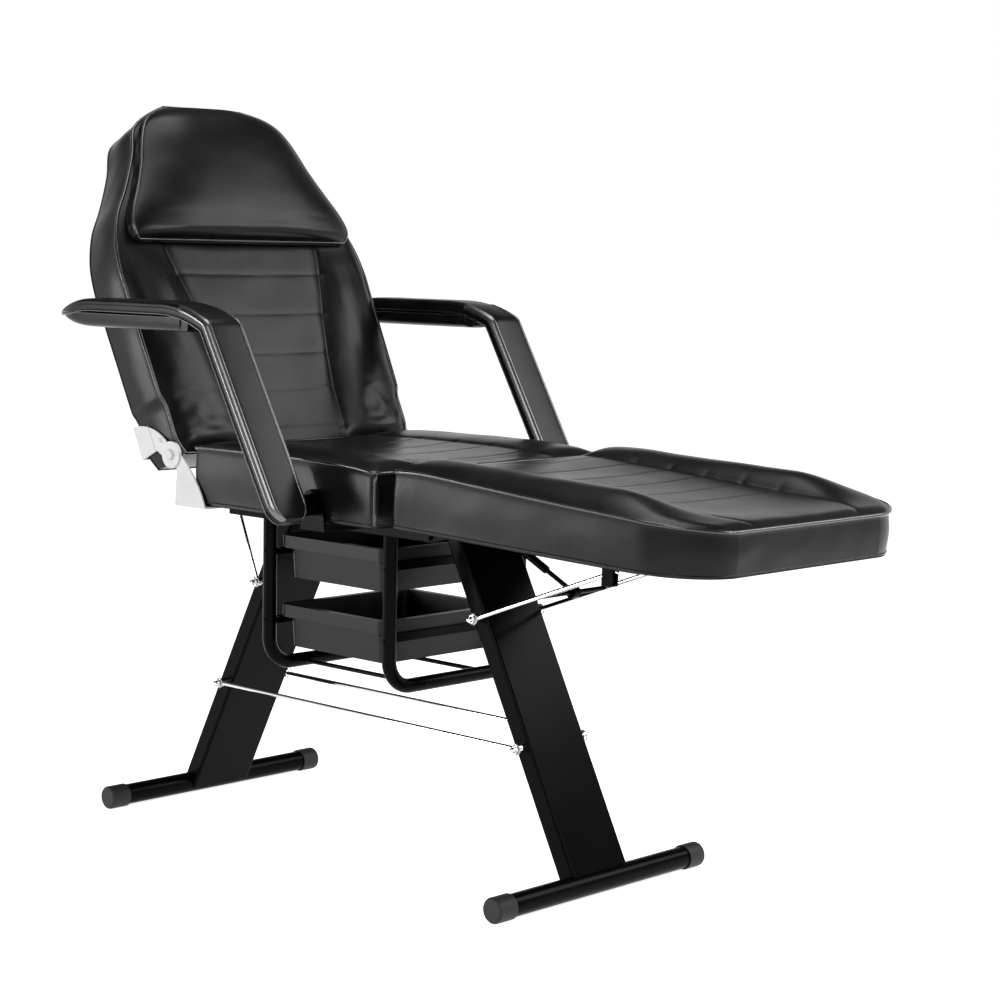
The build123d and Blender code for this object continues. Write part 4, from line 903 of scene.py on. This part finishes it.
@dataclass
class BackCushion(Cushion):
    """The backrest's cushion, whose lower corners are crumpled where the hip bends it."""

    def crease(self, along: float, across: float) -> float:
        """Deep soft folds at both lower corners, fading upwards.

        Args:
            along: The place along the cushion.
            across: The place across it.

        Returns:
            How far the folds lift the cover.
        """
        size = abs(across)
        near = exp(-((along - 40) / 60.0) ** 2) * smooth(150, 215, size)
        near *= smooth(0, 22, self.half(along) - size)
        folds = noise.noise(Vector((along / 17.0, size / 30.0, 9.0))) * 4.6
        folds += noise.noise(Vector(((along + size) / 26.0, (along - size) / 60.0, 2.0))) * 4.0
        drag = 2.0 * noise.noise(Vector((along / 90.0, size / 22.0, 6.0))) * smooth(120, 220, size)
        return near * folds + drag * smooth(0, 40, along) * (1 - smooth(330, 400, along))


@dataclass
class Pillow(Cushion):
    """The head pillow: a thick crown whose lower edge rolls over and folds."""

    def edge_height(self, along: float) -> float:
        """The pillow's piping lies low, under its domed top."""
        return 0.42 * self.height(along)

    def top(self, along: float, across: float) -> float:
        """The pillow's height: domed, with two long folds above its lower edge.

        Args:
            along: The place along the pillow.
            across: The place across it.

        Returns:
            The distance out from the pillow's underside.
        """
        wide = self.half(along)
        share = min(1.0, abs(across) / wide)
        tall = self.height(along)
        edge = self.edge_height(along)
        crown = edge + (tall - edge) * (1 - share ** 3.2) ** 0.7
        drift = 5.0 * noise.noise(Vector((across / 120.0, 1.0, 0.0)))
        fade = 1 - smooth(0.72, 0.98, share)
        folds = ((self.start + 25 + drift, 1.8, 6.0), (self.start + 38 - drift * 0.6, 1.1, 7.0))
        for place, deep, wide_fold in folds:
            crown -= deep * fade * exp(-(((along - place) / wide_fold) ** 2))
        ripple = self.wave * noise.noise(Vector((along / 60.0, across / 80.0, 3.3)))
        return crown + ripple * smooth(0, 25, wide - abs(across))


@dataclass
class BackRest:
    """The backrest with its head pillow."""

    hinge: Vector = field(default_factory=lambda: BACK_HINGE.copy())
    lean: float = BACK_LEAN
    front: float = 28.0
    thickness: float = 100.0

    def placement(self, out: float) -> Placement:
        """The backrest's axes, starting a given distance in front of the hinge.

        Args:
            out: That distance, in millimetres.

        Returns:
            The axes of a cushion on the backrest.
        """
        along = Vector((-sin(radians(self.lean)), 0.0, cos(radians(self.lean))))
        normal = Vector((cos(radians(self.lean)), 0.0, sin(radians(self.lean))))
        return Placement(self.hinge + normal * out, along, normal)

    def build(self) -> None:
        """Builds the cushion and the pillow."""
        BackCushion(
            "back_cushion_cover", "backrest", "back_cushion", self.placement(self.front - self.thickness),
            start=-6.0, end=695.0,
            half_rows=(
                (-6, 268), (20, 281), (60, 283.2), (88, 284), (104, 290.5), (125, 292), (221, 294.5),
                (300, 296.5), (350, 297.5), (402, 289.5), (462, 266), (512, 233), (587, 191), (640, 169),
                (666, 137), (684, 102), (695, 76),
            ),
            seam_rows=(
                (-6, 118), (108, 122), (221, 143), (300, 163), (350, 176), (402, 182), (500, 160), (600, 118),
                (705, 50),
            ),
            height_rows=((-6, 97), (40, 100), (560, 100), (640, 96), (705, 89)),
            rise_rows=((-6, 4), (40, 10), (108, 12), (300, 12), (350, 8), (402, 2), (705, 0)),
            channels=(29.0, 107.0, 180.0, 260.0, 341.0),
            pressure=0.5, swell=2.5, wave=1.5, channel_depth=0.6, channel_width=4.0, pucker=1.8,
        ).build()
        Pillow(
            "head_pillow_cover", "backrest", "head_pillow", self.placement(self.front + 1.0),
            start=403.0, end=680.0,
            half_rows=(
                (403, 250), (413, 258), (431, 260), (462, 249), (500, 228), (550, 203), (587, 189),
                (615, 177), (641, 161), (660, 139), (670, 117), (680, 86),
            ),
            seam_rows=((403, 150), (680, 50)),
            height_rows=(
                (403, 26), (408, 36), (418, 43.5), (440, 47), (500, 50), (600, 48), (641, 41), (666, 28),
                (680, 17),
            ),
            rise_rows=((403, 0), (680, 0)),
            channels=(),
            wave=1.0, step=7.0, piping_radius=2.8, pressure=0.4, swell=2.0, tuck=2.0,
            seam_depth=0.0, flare=3.0, crumple=2.6, crumple_mm=24.0,
            levels=(0.15, 0.35, 0.55, 0.75, 0.92, 1.0),
        ).build()


@dataclass
class Seat:
    """The seat's cushion."""

    rear: float = SEAT_REAR
    length: float = 511.0
    underside: float = 606.0
    half_width: float = 281.0
    corner_inset: float = 4.6

    def build(self) -> None:
        """Builds the seat cushion."""
        origin = Vector((self.rear, 0.0, self.underside))
        place = Placement(origin, Vector((1.0, 0.0, 0.0)), Vector((0.0, 0.0, 1.0)))
        Cushion(
            "seat_cushion_cover", "base", "seat_cushion", place,
            start=46.0, end=self.length,
            half_rows=((0, 281), (80, 280), (200, 279), (330, 279), (450, 280), (511, 281)),
            seam_rows=((0, 118), (77, 126), (204, 141), (327, 146), (450, 152), (511, 157)),
            height_rows=((0, 105), (77, 107), (330, 107), (450, 103), (511, 97)),
            rise_rows=((0, 2), (77, 5), (204, 7), (327, 8), (450, 8), (511, 7)),
            channels=(184.0, 271.0, 358.0, 445.0),
            front_corner=14.0, rear_corner=8.0, pressure=0.5, swell=2.5,
        ).build()
        cords = []
        for side in Side:
            across = side.value * (self.half_width - self.corner_inset)
            path = [
                place.point(self.length - self.corner_inset, across, 88.0 * share + 4.0)
                for share in (0.0, 0.25, 0.5, 0.75, 1.0)
            ]
            cords.append(tube_along("cord", path, 3.0, PIPING))
        report(join_pieces("seat_corner_piping", cords), "base", "black_upholstery")


@dataclass
class LegRest:
    """The leg rest's cushion, with its large rounded foot corners."""

    hinge: Vector = field(default_factory=lambda: Vector((SEAT_REAR + 529.0, 0.0, 589.5)))
    tilt: float = 1.85
    underside: float = 22.0

    def build(self) -> None:
        """Builds the leg rest cushion."""
        along = Vector((cos(radians(self.tilt)), 0.0, -sin(radians(self.tilt))))
        normal = Vector((sin(radians(self.tilt)), 0.0, cos(radians(self.tilt))))
        place = Placement(self.hinge + normal * self.underside, along, normal)
        Cushion(
            "leg_rest_cushion_cover", "leg_rest", "leg_rest_cushion", place,
            start=18.0, end=645.0,
            half_rows=((18, 281), (83, 280), (214, 279), (376, 279), (540, 280.5), (605, 281), (645, 281)),
            seam_rows=(
                (18, 157), (83, 160), (206, 166), (362, 169), (519, 168), (581, 157), (619, 141), (644, 126),
            ),
            height_rows=(
                (18, 99), (83, 102), (206, 97), (362, 90.5), (519, 85.5), (581, 82.6), (619, 79.2), (645, 75),
            ),
            rise_rows=(
                (18, 11), (83, 14), (206, 18), (362, 24), (450, 26), (510, 26), (560, 22), (600, 14),
                (645, 1),
            ),
            channels=(74.0, 149.5, 224.5, 299.5, 375.0, 450.0),
            front_corner=110.0, rear_corner=9.0, foot_fade=200.0, pressure=0.5, swell=2.5,
        ).build()


@dataclass
class Armrest:
    """One padded armrest: a bent cover, the pad under it, its piping and seams."""

    side: Side
    inner: float = 305.0
    width: float = 78.0
    thickness: float = 24.0
    top: float = 962.0
    tip_x: float = SEAT_REAR - 240.0
    pivot: tuple[float, float] = (SEAT_REAR + 365.0, 633.0)
    lean: float = 30.3
    bend_radius: float = 300.0
    bend_turn: float = 24.0
    corner_radius: float = 30.0
    foot: float = 31.0
    foot_round: float = 34.0
    piping_depth: float = 0.88
    pad_drop: float = 27.0
    pad_length: float = 353.0

    def limb(self) -> tuple[tuple[float, float], tuple[float, float], float, float]:
        """The line that the armrest's limb lies on.

        Returns:
            Its direction, its outward direction, the elbow's x and the length down to the pivot.
        """
        run = (sin(radians(self.lean)), -cos(radians(self.lean)))
        out = (cos(radians(self.lean)), sin(radians(self.lean)))
        front_x = self.pivot[0] + out[0] * self.thickness / 2
        front_z = self.pivot[1] + out[1] * self.thickness / 2
        rise = (self.top - front_z) / -run[1]
        return run, out, front_x - run[0] * rise, rise

    def pairs(self) -> list[tuple[tuple[float, float], tuple[float, float], float]]:
        """Pairs of outer and inner points along the cover, with a share of its width.

        Returns:
            Outer point, inner point and width share, from the rear tip to the lower end.
        """
        run, out, elbow_x, rise = self.limb()
        tip_end = self.tip_x + self.thickness * 5.0
        rows = []
        for share in (0.0, 0.012, 0.04, 0.1, 0.2, 0.34, 0.5, 0.68, 0.85, 1.0):
            x = self.tip_x + (tip_end - self.tip_x) * share
            drop = self.thickness * 1.3 * (1 - share) ** 2.0
            under_x = x + (1 - share) ** 3 * 7
            thick = self.thickness * min(1.0, 0.10 + 1.5 * share ** 0.72)
            low = max(self.top - drop - thick, self.top - self.thickness * 1.3 - 1.5)
            wide = 0.24 + 0.76 * (1 - (1 - min(1.0, share / 0.8)) ** 2) ** 0.55
            rows.append(((x, self.top - drop), (under_x, low), wide))
        first, whole = radians(self.bend_turn), radians(90 - self.lean)
        bends = ((self.bend_radius, 0.0, first, 9), (self.corner_radius, first, whole, 6))
        ahead = sum(radius * (sin(done) - sin(begun)) for radius, begun, done, _ in bends)
        fall = sum(radius * (cos(begun) - cos(done)) for radius, begun, done, _ in bends)
        used = fall / -run[1]
        here = [elbow_x + run[0] * used - ahead, self.top]
        count = round((here[0] - tip_end) / 14)
        for number in range(1, count + 1):
            x = tip_end + (here[0] - tip_end) * number / count
            rows.append(((x, self.top), (x, self.top - self.thickness), 1.0))
        for radius, begun, done, steps in bends:
            centre = (here[0] - sin(begun) * radius, here[1] - cos(begun) * radius)
            for number in range(1, steps + 1):
                angle = begun + (done - begun) * number / steps
                way = (sin(angle), cos(angle))
                here = [centre[0] + way[0] * radius, centre[1] + way[1] * radius]
                near = radius - self.thickness
                rows.append((tuple(here), (centre[0] + way[0] * near, centre[1] + way[1] * near), 1.0))
        total = rise + self.foot
        straight = total - self.foot_round
        count = round((straight - used) / 14)
        lengths = [used + (straight - used) * number / count for number in range(1, count + 1)]
        lengths += [straight + self.foot_round * sin(pi / 2 * number / 10) for number in range(1, 11)]
        half, edge = self.width / 2, self.thickness * 0.45
        for length in lengths:
            left = total - length
            turned = sqrt(max(0.0, 1 - (1 - min(1.0, left / self.foot_round)) ** 2))
            wide = (half - self.foot_round + self.foot_round * turned) / half
            inset = edge - sqrt(edge ** 2 - (edge - min(edge, left)) ** 2)
            outer = (elbow_x + run[0] * length, self.top + run[1] * length)
            rows.append((
                (outer[0] - out[0] * inset, outer[1] - out[1] * inset),
                (outer[0] - out[0] * (self.thickness - inset), outer[1] - out[1] * (self.thickness - inset)),
                wide,
            ))
        return rows

    def section(self) -> list[tuple[float, float]]:
        """The cover's cross-section.

        Returns:
            Shares of its width, from -1 to 1, and of its depth, from 0 outside to 1 inside.
        """
        right = [
            (0.3, -0.034), (0.6, -0.022), (0.80, -0.005), (0.88, 0.05), (0.94, 0.14), (0.975, 0.25),
            (0.965, 0.36), (0.99, 0.44), (1.0, 0.56), (0.995, 0.70), (0.975, 0.83), (0.93, 0.94),
            (0.85, 0.99), (0.6, 1.0), (0.2, 1.0),
        ]
        return [(0.0, -0.038)] + right + [(-across, depth) for across, depth in reversed(right)]

    def place(self, x: float, across: float, z: float) -> Vector:
        """A point of this armrest in metres, mirrored for the right side."""
        return Vector((x, (self.inner + self.width / 2 + across) * self.side.value, z)) * MM

    def sweep(
        self,
        name: str,
        rows: Sequence,
        section: Sequence[tuple[float, float]],
        wave: float,
        finish: Finish = ARM_LEATHERETTE,
    ) -> bpy.types.Object:
        """Sweeps a cross-section along rows of outer and inner points.

        Args:
            name: The piece's name.
            rows: Outer point, inner point and width share for each ring.
            section: The cross-section in shares of width and depth.
            wave: How much the surface ripples, in millimetres.
            finish: What the piece is made of.

        Returns:
            A closed mesh object.
        """
        points, faces = [], []
        size = len(section)
        half = self.width / 2
        for number, (outer, inner, wide) in enumerate(rows):
            for across, depth in section:
                x = outer[0] + (inner[0] - outer[0]) * depth
                z = outer[1] + (inner[1] - outer[1]) * depth
                ripple = wave * noise.noise(Vector((x / 40.0, across * 1.4, z / 40.0)))
                aside = across * half * wide + ripple * 0.4 * across
                points.append(self.place(x, aside, z + ripple * (1 - depth)))
        for row in range(len(rows) - 1):
            for step in range(size):
                ring = [row * size + step, row * size + (step + 1) % size]
                ring += [(row + 1) * size + (step + 1) % size, (row + 1) * size + step]
                faces.append(ring if self.side is Side.LEFT else ring[::-1])
        caps = [list(range(size)), [(len(rows) - 1) * size + step for step in range(size)][::-1]]
        faces += [cap[::-1] if self.side is Side.LEFT else cap for cap in caps]
        return new_mesh(name, points, faces, finish)

    def build(self) -> None:
        """Builds the cover, its edge welts, its lower piping and the pad under it."""
        word = self.side.name.lower()
        body = "arm_" + word
        rows = self.pairs()
        cover = self.sweep("arm_cover_skin_" + word, rows, self.section(), 0.5)
        subdivide(cover)
        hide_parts("arm_cover_" + word)
        report(cover, body, "arm_skin")
        half = self.width / 2
        corner = max(number for number, row in enumerate(rows) if row[0][1] > self.top - 6)
        bead = [
            (0.78, -0.05), (0.87, -0.06), (0.96, 0.03), (1.03, 0.17), (1.065, 0.33), (1.04, 0.43),
            (0.95, 0.40), (0.85, 0.22), (0.78, 0.08),
        ]
        for edge, edge_word in ((-1, "inner"), (1, "outer")):
            section = [(across * edge, depth) for across, depth in bead][::edge]
            name = "arm_edge_welt_{}_{}".format(edge_word, word)
            welt = self.sweep(name, rows[corner:-3], section, 0.0, WELT)
            subdivide(welt)
            report(welt, body, "arm_skin")
            path = []
            for outer, inner, wide in rows[1:-3]:
                x = outer[0] + (inner[0] - outer[0]) * self.piping_depth
                z = outer[1] + (inner[1] - outer[1]) * self.piping_depth
                path.append(self.place(x, edge * half * wide * 0.985, z))
            name = "arm_piping_lower_{}_{}".format(edge_word, word)
            report(tube_along(name, path, 1.7, PIPING, sides=8), body, "arm_skin")
        self.under_pad(word, body)

    def under_pad(self, word: str, body: str) -> None:
        """Builds the pad under the armrest's flat length.

        Args:
            word: The side's name.
            body: The body that the pad rides on.
        """
        rear = self.tip_x + self.thickness * 0.35
        top = self.top - self.thickness - 0.3
        low = self.top - self.thickness - self.pad_drop
        rows = []
        for share in (0.0, 0.02, 0.06, 0.13, 0.24, 0.38, 0.55, 0.75, 1.0):
            x = rear + self.thickness * 3.8 * share
            under = low + self.pad_drop * (1 - share) ** 1.9 * 0.9
            wide = 0.26 + 0.73 * (1 - (1 - min(1.0, share / 0.9)) ** 2) ** 0.55
            rows.append(((x, top), (x, under), wide))
        first = rows[-1][0][0]
        last = self.tip_x + self.thickness * 0.9 + self.pad_length
        for number in range(1, 23):
            x = first + (last - 4 - first) * number / 22
            sag = 1.0 * sin(pi * number / 22)
            rows.append(((x, top), (x, low - 0.2 * sag), 0.99))
        rows.append(((last - 1.2, top), (last - 1.2, low + 0.8), 0.985))
        rows.append(((last, top - 0.6), (last, low + 2.4), 0.96))
        section = [
            (-0.96, 0.0), (-0.5, 0.0), (0.0, 0.0), (0.5, 0.0), (0.96, 0.0), (0.995, 0.05), (1.0, 0.2),
            (0.998, 0.4), (0.975, 0.6), (0.93, 0.76), (0.86, 0.87), (0.74, 0.95), (0.5, 0.99), (0.0, 1.0),
            (-0.5, 0.99), (-0.74, 0.95), (-0.86, 0.87), (-0.93, 0.76), (-0.975, 0.6), (-0.998, 0.4),
            (-1.0, 0.2), (-0.995, 0.05),
        ]
        pad = self.sweep("arm_under_pad_skin_" + word, rows, section, 0.4)
        subdivide(pad)
        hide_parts("arm_under_pad_" + word)
        report(pad, body, "arm_skin")
        for edge, edge_word in ((1, "outer"), (-1, "inner")):
            path = [
                self.place(outer[0], edge * self.width / 2 * wide, outer[1] - 2.0)
                for outer, _, wide in rows[2:]
            ]
            name = "arm_pad_welt_{}_{}".format(edge_word, word)
            report(tube_along(name, path, 1.1, PIPING, sides=8), body, "arm_skin")


@dataclass
class Metalwork:
    """The carried-over steel and plastic: a finish for each node, and its small fastenings."""

    finishes: dict = field(default_factory=lambda: {
        "black_frame": POWDER_COAT,
        "black_tube": POWDER_COAT,
        "bright_rod": CHROME,
        "bright_nut": CHROME,
        "hinge_plate": PALE_ENAMEL,
        "zinc_bolt": ZINC,
        "foot_cap": RUBBER,
        "board": LINING,
        "black_upholstery": LEATHERETTE,
        "arm_skin": ARM_LEATHERETTE,
        "black_plastic": ABS,
    })
    rack_tubes: tuple[float, float] = (113.0, 423.0)
    runner_heights: tuple[float, float] = (520.0, 396.0)
    tube_face: float = 172.3
    leg_lean: float = 27.05
    washer: tuple = ((-0.2, 4.6), (-0.2, 9.4), (0.6, 10.0), (1.4, 9.4), (1.4, 4.6))

    def dress(self) -> None:
        """Gives every CAD node its finish."""
        slots = {part["node"]: part["material_slot"] for part in frame["record"]["subparts"]}
        coated = {"leg_rest_hinge_pins": POWDER_COAT, "back_hinge_bolts": PALE_ENAMEL}
        for name, node in frame["nodes"].items():
            node.data.materials.clear()
            node.data.materials.append(coated.get(name, self.finishes[slots[name]]).material())
        LOG.info("%d carried-over nodes have their finishes", len(frame["nodes"]))

    def screw(
        self, name: str, centre: Vector, axis: Vector, radius: float, finish: Finish = POWDER_COAT
    ) -> bpy.types.Object:
        """A domed screw head with a shallow socket.

        Args:
            name: The piece's name.
            centre: Where its seat touches the surface, in metres.
            axis: The direction it points in.
            radius: The head's radius in millimetres.
            finish: What the screw is made of.

        Returns:
            A mesh object.
        """
        tall = radius * 0.5
        profile = (
            (-0.4, radius), (tall * 0.35, radius), (tall * 0.75, radius * 0.86), (tall, radius * 0.55),
            (tall, radius * 0.42), (tall * 0.45, radius * 0.36), (tall * 0.42, 0.05),
        )
        return turned_part(name, centre, axis, profile, finish)

    def rack_screws(self) -> None:
        """Screws through the rack tubes into the runners' ends, and at the bottom rods."""
        heads = []
        for tube_x in self.rack_tubes:
            for height in self.runner_heights:
                for side in (1, -1):
                    centre = Vector((SEAT_REAR + tube_x, side * self.tube_face, height)) * MM
                    heads.append(self.screw("head", centre, Vector((0, side, 0)), 3.2))
        report(join_pieces("rack_screws", heads), "base", "black_frame")
        ends = []
        for side in (1, -1):
            for face, way in ((435.3, 1), (100.7, -1)):
                centre = Vector((SEAT_REAR + face, side * 85.0, 314.0)) * MM
                ends.append(self.screw("head", centre, Vector((way, 0, 0)), 3.6))
        report(join_pieces("rack_rod_screws", ends), "base", "black_frame")

    def washers(self) -> None:
        """Plain washers between the rods' eyes and the acorn nuts."""
        rings = []
        slope = tan(radians(self.leg_lean))
        for height, root, way in ((236, -230, 1), (441, -230, 1), (236, 761, -1), (442, 761, -1)):
            x = SEAT_REAR + root + way * (height - 21.0) * slope
            for side in (1, -1):
                centre = Vector((x, side * 83.1, height)) * MM
                rings.append(turned_part("washer", centre, Vector((0, side, 0)), self.washer, ZINC))
        report(join_pieces("rod_washers", rings), "base", "zinc_bolt")

    def plate_seams(self) -> None:
        """Shallow fold lines and a screw on each pale hinge plate, as the photograph shows."""
        lean = radians(BACK_LEAN)
        along = Vector((-sin(lean), 0.0, cos(lean)))
        out = Vector((cos(lean), 0.0, sin(lean)))
        heads = []
        folds = []
        for side in (1, -1):
            face = side * 287.75
            centre = (BACK_HINGE + along * 34 + out * -16 + Vector((0, face, 0))) * MM
            heads.append(self.screw("head", centre, Vector((0, side, 0)), 4.2, PALE_ENAMEL))
            path = []
            for share in (0.0, 0.33, 0.66, 1.0):
                point = BACK_HINGE + along * (22 + 50 * share) + out * (-36 - 2 * share)
                path.append((point + Vector((0, face, 0))) * MM)
            folds.append(tube_along("fold", path, 0.7, PALE_ENAMEL, sides=8))
        report(join_pieces("hinge_plate_screws", heads), "backrest", "hinge_plate")
        report(join_pieces("hinge_plate_folds", folds), "backrest", "hinge_plate")

    def build(self) -> None:
        """Dresses the nodes and adds the fastenings."""
        self.dress()
        self.rack_screws()
        self.washers()
        self.plate_seams()


@dataclass
class Studio:
    """The floor, the white surround, the lamps and the photograph's camera."""

    camera_place: Vector = field(default_factory=lambda: Vector((SEAT_REAR * MM + 3.1691, -2.7874, 1.0567)))
    yaw: float = 43.5
    pitch: float = 6.24622
    roll: float = 1.09065
    focal_pixels: float = 2266.28
    sensor: float = 36.0

    def background_ray(self, tree: bpy.types.NodeTree) -> bpy.types.NodeSocket:
        """Tells the rays that see the background: camera, mirror and glass rays.

        Args:
            tree: The node tree of the floor or the surround.

        Returns:
            A socket that is one for such a ray and zero for any other.
        """
        path = add_node(tree, "ShaderNodeLightPath")
        seen = path.outputs["Is Camera Ray"]
        for kind in ("Is Glossy Ray", "Is Transmission Ray"):
            links = {0: seen, 1: path.outputs[kind]}
            seen = add_node(tree, "ShaderNodeMath", {"operation": "MAXIMUM"}, links).outputs[0]
        return seen

    def floor(self) -> None:
        """A plain pale floor that keeps the chair's shadow."""
        size = 60.0
        corners = ((-size, -size), (size, -size), (size, size), (-size, size))
        points = [Vector((x, y, 0.0)) for x, y in corners]
        floor = new_mesh("studio_floor", points, [[0, 1, 2, 3]], RUBBER, Corner.SHARP)
        made = bpy.data.materials.new("studio_floor_white")
        made.use_nodes = True
        tree = made.node_tree
        tree.nodes.clear()
        cloud = add_node(tree, "ShaderNodeTexNoise", {"Scale": 0.6, "Detail": 2.0})
        shine = add_node(tree, "ShaderNodeMapRange", {3: 0.85, 4: 0.95}, {0: cloud.outputs[0]})
        looks = {"Base Color": hex_linear("#f4f4f4"), "Specular IOR Level": 0.1}
        paint = add_node(tree, "ShaderNodeBsdfPrincipled", looks, {"Roughness": shine.outputs[0]})
        glow = add_node(tree, "ShaderNodeEmission", {"Color": (1, 1, 1, 1), "Strength": 0.8})
        mix = add_node(tree, "ShaderNodeMixShader", None, {0: self.background_ray(tree), 1: paint.outputs[0]})
        both = add_node(tree, "ShaderNodeAddShader", None, {0: paint.outputs[0], 1: glow.outputs[0]})
        tree.links.new(both.outputs[0], mix.inputs[2])
        add_node(tree, "ShaderNodeOutputMaterial", None, {"Surface": mix.outputs[0]})
        floor.data.materials.clear()
        floor.data.materials.append(made)

    def surround(self) -> None:
        """White towards the horizon for what sees the background, and soft grey light elsewhere."""
        world = bpy.data.worlds.new("studio_surround")
        bpy.context.scene.world = world
        world.use_nodes = True
        tree = world.node_tree
        tree.nodes.clear()
        place = add_node(tree, "ShaderNodeTexCoord")
        parts = add_node(tree, "ShaderNodeSeparateXYZ", None, {0: place.outputs["Generated"]})
        levels = {1: 0.22, 2: 0.45, 3: 1.0, 4: 0.10}
        fade = add_node(tree, "ShaderNodeMapRange", levels, {0: parts.outputs["Z"]})
        seen = add_node(tree, "ShaderNodeBackground", {"Color": (1, 1, 1, 1)}, {"Strength": fade.outputs[0]})
        soft = add_node(tree, "ShaderNodeBackground", {"Color": hex_linear("#f7f8fa"), "Strength": 0.34})
        links = {0: self.background_ray(tree), 1: soft.outputs[0], 2: seen.outputs[0]}
        mix = add_node(tree, "ShaderNodeMixShader", None, links)
        add_node(tree, "ShaderNodeOutputWorld", None, {"Surface": mix.outputs[0]})

    def lamp(self, name: str, place: tuple, aim: tuple, size: tuple, power: float) -> None:
        """Adds one softbox.

        Args:
            name: The lamp's name.
            place: Where it stands, in metres.
            aim: What it points at, in metres.
            size: Its width and height, in metres.
            power: Its power in watts.
        """
        light = bpy.data.lights.new(name, "AREA")
        light.shape = "RECTANGLE"
        light.size, light.size_y = size
        light.energy = power
        made = bpy.data.objects.new(name, light)
        bpy.context.scene.collection.objects.link(made)
        made.location = place
        made.rotation_euler = (Vector(aim) - Vector(place)).to_track_quat("-Z", "Y").to_euler()
        made.visible_camera = False

    def camera(self) -> None:
        """The photograph's camera, solved from the chair's own straight edges."""
        yaw, pitch, roll = radians(self.yaw), radians(self.pitch), radians(self.roll)
        ahead = Vector((-sin(yaw) * cos(pitch), cos(yaw) * cos(pitch), -sin(pitch)))
        right = Vector((cos(yaw), sin(yaw), 0.0))
        up = right.cross(ahead)
        rolled = right * cos(roll) + up * sin(roll)
        upright = up * cos(roll) - right * sin(roll)
        lens = bpy.data.cameras.new("studio_camera")
        lens.sensor_width = self.sensor
        lens.lens = self.focal_pixels / FRAME_PIXELS * self.sensor
        lens.dof.use_dof = False
        made = bpy.data.objects.new("studio_camera", lens)
        bpy.context.scene.collection.objects.link(made)
        basis = Matrix((rolled, upright, -ahead)).transposed().to_4x4()
        made.matrix_world = Matrix.Translation(self.camera_place) @ basis
        bpy.context.scene.camera = made

    def build(self) -> None:
        """Sets up the studio."""
        self.floor()
        self.surround()
        self.lamp("key_softbox", (1.9, 2.5, 2.7), (-0.3, 0.0, 0.8), (1.9, 1.9), 66.0)
        self.lamp("side_softbox", (2.1, -3.3, 2.7), (0.0, 0.0, 0.6), (2.0, 1.6), 96.0)
        self.lamp("top_softbox", (-0.2, 0.0, 3.4), (0.0, 0.0, 0.6), (2.4, 1.6), 56.0)
        self.lamp("near_strip", (-2.6, -2.9, 1.0), (-0.2, -0.3, 0.7), (0.35, 1.6), 46.0)
        self.lamp("far_strip", (3.4, 1.3, 2.1), (0.0, 0.0, 0.7), (0.3, 1.7), 44.0)
        self.camera()
        bpy.context.scene.view_settings.view_transform = "Standard"


def main() -> None:
    """Builds the chair's dress in order."""
    logging.basicConfig(level=logging.INFO, format="%(name)s: %(message)s")
    Metalwork().build()
    BackRest().build()
    Seat().build()
    LegRest().build()
    for side in Side:
        Armrest(side).build()
    Studio().build()
    bpy.context.view_layer.update()

    def plain(box: object) -> list:
        """A box of vectors as plain lists of numbers."""
        return [[float(value) for value in corner] for corner in box]


if __name__ == "__main__":
    main()
